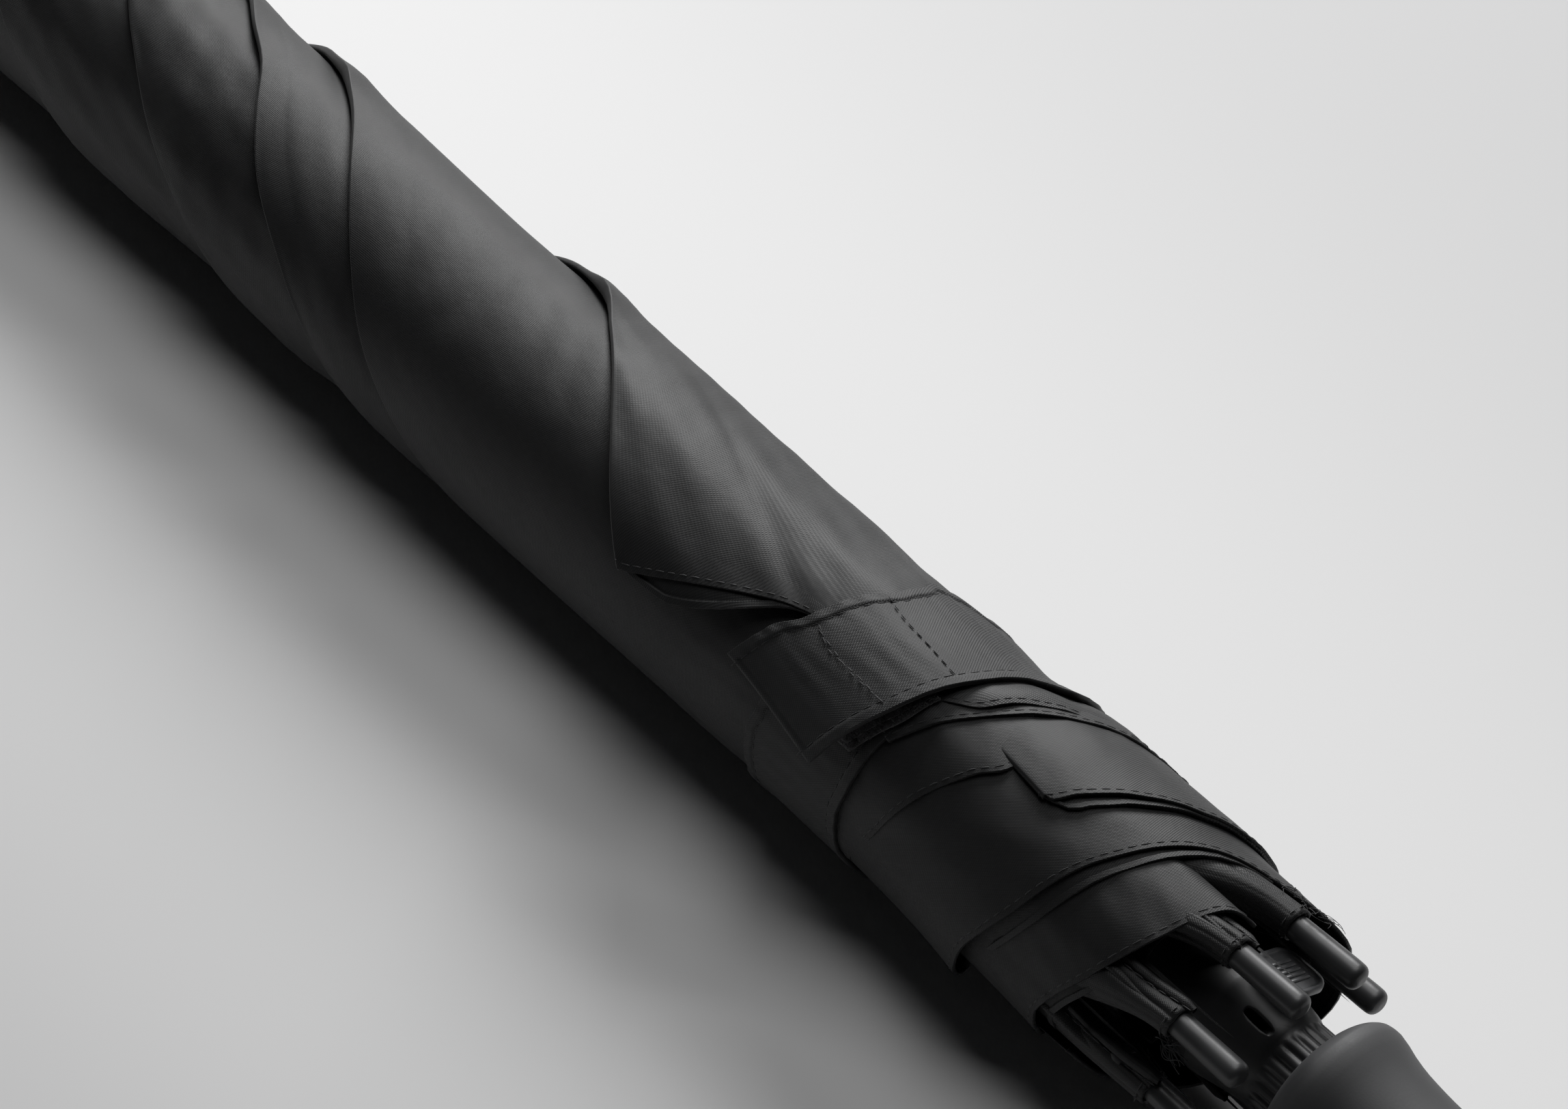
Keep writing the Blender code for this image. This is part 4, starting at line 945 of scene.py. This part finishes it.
def outAndRound(angle):
    # directions straight out from the shaft at an angle about it, and round it
    turn = math.radians(angle)
    return np.array([0, math.sin(turn), math.cos(turn)]), np.array([0, math.cos(turn), -math.sin(turn)])


def ribAxes(ribAngle):
    # a rib's pivot, and its directions: along it, square outwards, and round the shaft
    out, around = outAndRound(ribAngle)
    lean = math.radians(ribs["lean"])
    along = np.array([math.cos(lean), 0, 0]) + out * math.sin(lean)
    pivot = np.array([ferruleEnd + ribs["pivotPlace"], 0, axisHeight]) + out * ribs["pivotRadius"]
    return pivot, along, np.cross(along, around), around


# the eight panels of the canopy as they lie folded to narrow strips beside their ribs at rest
gore = {"length": 0.686, "strip": 0.005, "turn": 8.07, "behind": 0.010642, "below": 0.0006, "from": 0.004,
        "topShare": 0.12, "scallop": 0.085, "leastArea": 0.0021}
for number, ribAngle in enumerate(ribAngles, 1):
    pivot, ribDir, normalDir, aroundDir = ribAxes(ribAngle)
    side = math.cos(math.radians(gore["turn"])) * aroundDir - math.sin(math.radians(gore["turn"])) * normalDir
    share = np.linspace(0, 1, 41)
    across = 0.5 - np.sin(np.arcsin(1 - 2 * share) / 3)  # columns closer together towards the middle of the strip
    rows = np.linspace(0, 1, 40)[:, None]
    alongRib = rows * gore["length"] * (1 - gore["scallop"] * np.sin(np.pi * share)) + gore["from"]
    spread = across * gore["strip"] * (gore["topShare"] + (1 - gore["topShare"]) * rows)
    points = pivot - ribDir * gore["behind"] - normalDir * gore["below"] \
        + ribDir * alongRib[..., None] + side * spread[..., None]
    uv = np.stack([alongRib, share * 0.5 * rows], -1)
    piece = gridPiece(f"canopyPanel_{number}", points, cloth, uv)
    tuple(pivot)
    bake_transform(piece)
    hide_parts(f"gore_{number}")
    area = max(meshArea(piece) * 2, gore["leastArea"])
print("canopy panels made")


# turned and moulded parts in full roundness
def replaceWith(piece, node, body):
    carried(piece, body)
    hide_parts(node)


grip = {"start": 769.02, "bore": 10.0, "mouth": 11.4, "sides": 96}
outer = through([(0, 12.6), (0.7, 14.6), (1.7, 16.7), (3, 18.3), (4.5, 19.2), (6.5, 19.4), (9, 18.9), (13, 17.7),
                 (18, 16.8), (26, 16.1), (38, 15.7), (53.5, 15.4), (80, 15.6), (110, 16.3), (126.5, 16.6),
                 (150, 16.45), (176.7, 15.8)])
start, bore, mouth = grip["start"], grip["bore"], grip["mouth"]
side = [(start + x, float(outer(x * millimetre))) for x in
        np.concatenate([np.linspace(0, 6, 22), np.linspace(7, 176.2, 70)])]
profile = [(783.22, bore), (783.22, mouth), (start + 0.6, mouth), (start + 0.1, 11.9), *side,
           (945.2, 15.0), (945.2, bore)]
replaceWith(turned("gripVisual", profile, grip["sides"], rubber), "handle_grip", "root")
cap = rounded([(945.72, 0), (945.72, 15.8, 0.4), (950.5, 15.6, 1.5), (954.6, 12.9, 1.4), (955.2, 11.0, 1.0),
               (955.22, 8.0, 0.5), (954.9, 6.0, 0.5), (954.9, 0)], 6)
replaceWith(turned("gripEndCap", cap, 72, rubber, hollow=False), "handle_end_cap", "root")
ferrule = rounded([(0, 0), (0, 3.2, 0.8), (12, 5.0, 1.5), (20, 5.0, 2.0), (30.3, 7.5, 2.0), (56, 7.5, 0.4),
                   (56, 6.3), (30, 6.3), (30, 0)], 6)
replaceWith(turned("ferruleVisual", ferrule, 64, blackPlastic, hollow=False), "ferrule", "root")
crown = rounded([(56.3, 6.3), (56.3, 7.5, 0.3), (59.6, 9.1, 1.5), (64.7, 14.5, 0.8), (66.3, 14.5, 0.4), (66.3, 12.9),
                 (64.7, 7.9), (64.7, 6.3)], 5)
replaceWith(turned("crownCapVisual", crown, 72, blackPlastic), "crown_cap", "root")

tipShape = rounded([(16, 0), (16, 2.05), (0, 2.05), (0, 2.7, 0.2), (1.6, 3.2, 0.4), (3.2, 3.2, 0.3), (3.3, 2.75, 0.2),
                    (25, 3.0, 1.0), (27.1, 2.9, 1.0), (28, 1.5, 1.0), (28, 0)], 5)
for number, ribAngle in enumerate(ribAngles, 1):
    pivot, along, out, around = ribAxes(ribAngle)
    piece = turned(f"ribCap_{number}", tipShape, 28, capPlastic, hollow=False,
                   axes=(pivot + along * ribs["capPlace"], along, out, -around))
    replaceWith(piece, f"rib_tip_{number}", f"rib_{number}")
print("handle, ferrule and caps made")

# the runner's body, its window and its push button
runnerShape = {"outside": [(700.4, 10.5), (700.8, 10.9), (704, 10.9), (704.6, 10.5), (733, 10.5), (740, 12.0),
                           (745.2, 13.35), (747.5, 13.7), (749.6, 13.45), (755, 12.4), (760.2, 11.5), (761.4, 11.2),
                           (762.4, 10.75), (779.0, 10.75), (779.8, 10.4), (780.2, 9.9)],
               "inside": [(700.4, 7.6), (740.6, 7.6), (740.9, 10.4), (746.2, 11.7), (749.2, 11.7), (757.6, 9.7),
                          (757.9, 7.6), (780.2, 7.6)],
               "flutes": 22, "window": (756.6, -17.0, 3.7, 1.15), "windowRadius": 12.2, "patch": (5.0, 22.0)}


def runnerSurface(key, place, angle):
    line = np.array(runnerShape[key], float)
    size = np.interp(place, line[:, 0], line[:, 1])
    if key == "outside":
        fluted = smooth((place - 762.6) / 1.2) * smooth((779.2 - place) / 0.8)
        size = size - 0.55 * fluted * (0.5 + 0.5 * np.cos(np.radians(angle * runnerShape["flutes"]))) ** 2
    return onBundle(place * millimetre, angle, size * millimetre)


def runnerBody():
    # both walls as grids with a square gap, filled by rings that lead to the window's edge, then joined to each other
    centre, middle, halfLong, halfWide = runnerShape["window"]
    patchLong, patchWide = runnerShape["patch"]
    columns = np.arange(-180, 180, 2.0)
    wide = len(columns)
    points, faces, loops = [], [], {}
    for key in ("outside", "inside"):
        line = np.array(runnerShape[key], float)
        first, last = (middle - patchWide) // 2 * 2, (middle + patchWide) // 2 * 2
        stops = [line[0, 0], *line[:, 0], *np.arange(line[0, 0], line[-1, 0], 1.2), centre - patchLong,
                 centre + patchLong]
        rows = np.unique(np.round(stops, 3))
        rows = rows[np.concatenate([[True], np.diff(rows) > 0.12])]
        top, bottom = np.argmin(np.abs(rows - centre + patchLong)), np.argmin(np.abs(rows - centre - patchLong))
        start = len(points)
        points += list(runnerSurface(key, rows[:, None], columns[None, :]).reshape(-1, 3))
        left, right = int(np.argmin(np.abs(columns - first))), int(np.argmin(np.abs(columns - last)))
        number = lambda i, j: start + i * wide + j % wide
        faces += [(number(i, j), number(i + 1, j), number(i + 1, j + 1), number(i, j + 1))
                  for i in range(len(rows) - 1) for j in range(wide) if not (top <= i < bottom and left <= j < right)]
        border = [(top, j) for j in range(left, right)] + [(i, right) for i in range(top, bottom)] \
            + [(bottom, j) for j in range(right, left, -1)] + [(i, left) for i in range(bottom, top, -1)]
        ring = [number(i, j) for i, j in border]
        where = np.array([(rows[i], columns[j]) for i, j in border])
        away = np.radians(where[:, 1] - middle) * runnerShape["windowRadius"]
        toward = np.arctan2((where[:, 0] - centre) / halfLong, away / halfWide)
        straight = (halfLong - halfWide) * np.clip(1.5 * np.sin(toward), -1, 1)
        hole = np.stack([centre + straight + halfWide * np.sin(toward),
                         middle + np.degrees(halfWide * np.cos(toward) / runnerShape["windowRadius"])], 1)
        for t in (0.3, 0.6, 0.85, 1.0):
            at = where + (hole - where) * t
            fresh = list(range(len(points), len(points) + len(at)))
            points += list(runnerSurface(key, at[:, 0], at[:, 1]))
            faces += [(ring[k], fresh[k], fresh[(k + 1) % len(at)], ring[(k + 1) % len(at)]) for k in range(len(at))]
            ring = fresh
        loops[key] = (ring, [number(0, j) for j in range(wide)], [number(len(rows) - 1, j) for j in range(wide)])
    for end in (1, 2):
        a, b = loops["outside"][end], loops["inside"][end]
        faces += [(a[k], b[k], b[(k + 1) % len(a)], a[(k + 1) % len(a)]) for k in range(len(a))]
    a, b = loops["outside"][0], loops["inside"][0]
    turnA, turnB = np.array(points)[a], np.array(points)[b]
    nearest = [int(np.argmin(np.linalg.norm(turnB - at, axis=1))) for at in turnA]
    for k in range(len(a)):
        n = (k + 1) % len(a)
        near, nextNear = nearest[k], nearest[n]
        faces.append((a[k], a[n], b[nextNear], b[near]) if near != nextNear else (a[k], a[n], b[near]))
    return closeMesh(newPiece("runnerVisual", points, faces, blackPlastic))


replaceWith(runnerBody(), "runner_body", "runner")

button = {"place": 753.72, "angle": 27.0, "sections": [
    (10.5, 9.6, 8.6, 2.2), (14.0, 9.2, 8.2, 2.2), (15.3, 10.4, 9.4, 2.6), (15.8, 12.4, 11.4, 3.6),
    (16.1, 13.0, 12.0, 4.0), (17.2, 13.0, 12.0, 4.0), (17.5, 12.7, 11.7, 3.9), (17.6, 12.2, 11.2, 3.7),
    (17.6, 11.2, 10.2, 3.2), (17.45, 10.8, 9.8, 3.0), (17.1, 10.5, 9.5, 2.8), (17.05, 9.0, 8.0, 2.2)],
    "ridges": [-2.6, -1.3, 0.0, 1.3, 2.6]}


def slab(name, sections, material, offset=(0.0, 0.0), corners=8):
    # rounded rectangles (height, length, width, corner) stacked outwards from the shaft and closed at the top
    out, aside = outAndRound(button["angle"])
    at = np.array([ferruleEnd + (button["place"] + offset[0]) * millimetre, 0, axisHeight])
    points = []
    for height, length, width, corner in sections:
        for quarter, (x, y) in enumerate(((1, 1), (-1, 1), (-1, -1), (1, -1))):
            for a in np.radians(np.linspace(90 * quarter, 90 * quarter + 90, corners)):
                place = x * (length / 2 - corner) + corner * math.cos(a)
                side = y * (width / 2 - corner) + corner * math.sin(a) + offset[1]
                points.append(at + millimetre * (np.array([place, 0, 0]) + aside * side + out * height))
    around = 4 * corners
    faces = [tuple(f) for f in gridFaces(len(sections), around, closed=True)]
    centre = len(points)
    points.append(at + millimetre * (aside * offset[1] + out * sections[-1][0]))
    last = (len(sections) - 1) * around
    faces += [(last + k, last + (k + 1) % around, centre) for k in range(around)]
    return closeMesh(newPiece(name, points, faces, material))


replaceWith(slab("buttonVisual", button["sections"], litButtonPlastic), "push_button", "button")
for number, shift in enumerate(button["ridges"], 1):
    ridge = slab(f"buttonRidge_{number}", [(17.0, 0.9, 6.4, 0.44), (17.3, 0.8, 6.2, 0.39), (17.42, 0.5, 5.8, 0.24)],
                 litButtonPlastic, (shift, 0.0), 5)
    carried(ridge, "button")
print("runner made")

# finishes of the carried-over parts
finishes = {
    **dict.fromkeys(("crown_cap", "notch", "upper_stop_collar", "handle_end_cap", "runner_crown", "runner_body",
                     "push_button"), blackPlastic),
    **dict.fromkeys(("shaft", "notch_ring", "runner_ring", "button_spring"), steel),
    "ferrule": zinc, "catch_plate": zinc, "handle_core": core, "handle_grip": rubber,
}
finishByStart = {"rib_tip": capPlastic, "rib_knuckle": blackPlastic, "rib_": fibre, "stretcher_": blackSteel}
for name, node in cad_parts.items():
    material = finishes.get(name) or next((m for key, m in finishByStart.items() if name.startswith(key)), None)
    if material:
        for slot in node.material_slots:
            slot.material = material
print("carried-over parts finished")

# table, light and camera
view = {"elevation": 47.0, "turn": 40.0, "distance": 0.75, "focal": 80.0, "place": 0.655, "pixel": (1359.0, 1093.0),
        "image": (2296.0, 1624.0)}
up, turn = math.radians(view["elevation"]), math.radians(view["turn"])
level = Vector((-math.cos(turn), math.sin(turn), 0))
right = Vector((math.sin(turn), math.cos(turn), 0))
look = level * math.cos(up) + Vector((0, 0, -math.sin(up)))
above = right.cross(look)
pixels = view["focal"] / 36.0 * view["image"][0]
ray = (look + right * ((view["pixel"][0] - view["image"][0] / 2) / pixels)
       - above * ((view["pixel"][1] - view["image"][1] / 2) / pixels)).normalized()
target = Vector((ferruleEnd + view["place"], 0, axisHeight))
eye = target - ray * (view["distance"] / ray.dot(look))
lens = bpy.data.cameras.new("camera")
lens.lens, lens.sensor_width, lens.clip_start = view["focal"], 36.0, 0.01
camera = inScene("camera", lens)
camera.matrix_world = Matrix((
    (right.x, above.x, -look.x, eye.x), (right.y, above.y, -look.y, eye.y),
    (right.z, above.z, -look.z, eye.z), (0, 0, 0, 1)))
bpy.context.scene.camera = camera

# the table's colour is painted darker the farther it is from the object's own line: a painted light falloff, a pool of
# light round the object painted on the table
floor = {"line": 0.03, "fade": 0.24, "far": (0.58, 0.58, 0.583), "near": (0.94, 0.94, 0.94), "half": 6}
floorLook = Finish("pale table", Roughness=0.9, Specular_IOR_Level=0.1)
_, floorAside, _ = floorLook.split(floorLook.objectPlace())
offLine = (floorAside - floor["line"]) / floor["fade"]
floorLook.feed("Base Color", floorLook.colours((offLine * offLine + 1.0) ** -1.5, floor["far"], floor["near"]))
corners = [(x * floor["half"], y * floor["half"], 0) for x, y in ((-1, -1), (1, -1), (1, 1), (-1, 1))]
table = newPiece("table", corners, [(0, 1, 2, 3)], floorLook.material)

lamps = {
    "key": dict(at=(-1.07, 1.54, 1.24), to=(0.17, 0.06, 0.0), size=1.0, power=57.0),
    "high": dict(at=(-0.12, 0.47, 1.70), to=(0.12, -0.03, 0.0), size=1.0, power=9.0),
}
for name, lamp in lamps.items():
    light = bpy.data.lights.new(name, "AREA")
    light.size, light.energy = lamp["size"], lamp["power"]
    body = inScene(name, light)
    body.location = lamp["at"]
    body.rotation_euler = (Vector(lamp["to"]) - Vector(lamp["at"])).to_track_quat("-Z", "Y").to_euler()
sky = {"colour": (0.9, 0.92, 0.95, 1), "strength": 0.009}
world = bpy.data.worlds.new("studio")
world.use_nodes = True
for socket, value in zip(world.node_tree.nodes["Background"].inputs, sky.values()):
    socket.default_value = value
bpy.context.scene.world = world
bpy.context.scene.view_settings.view_transform = "Standard"
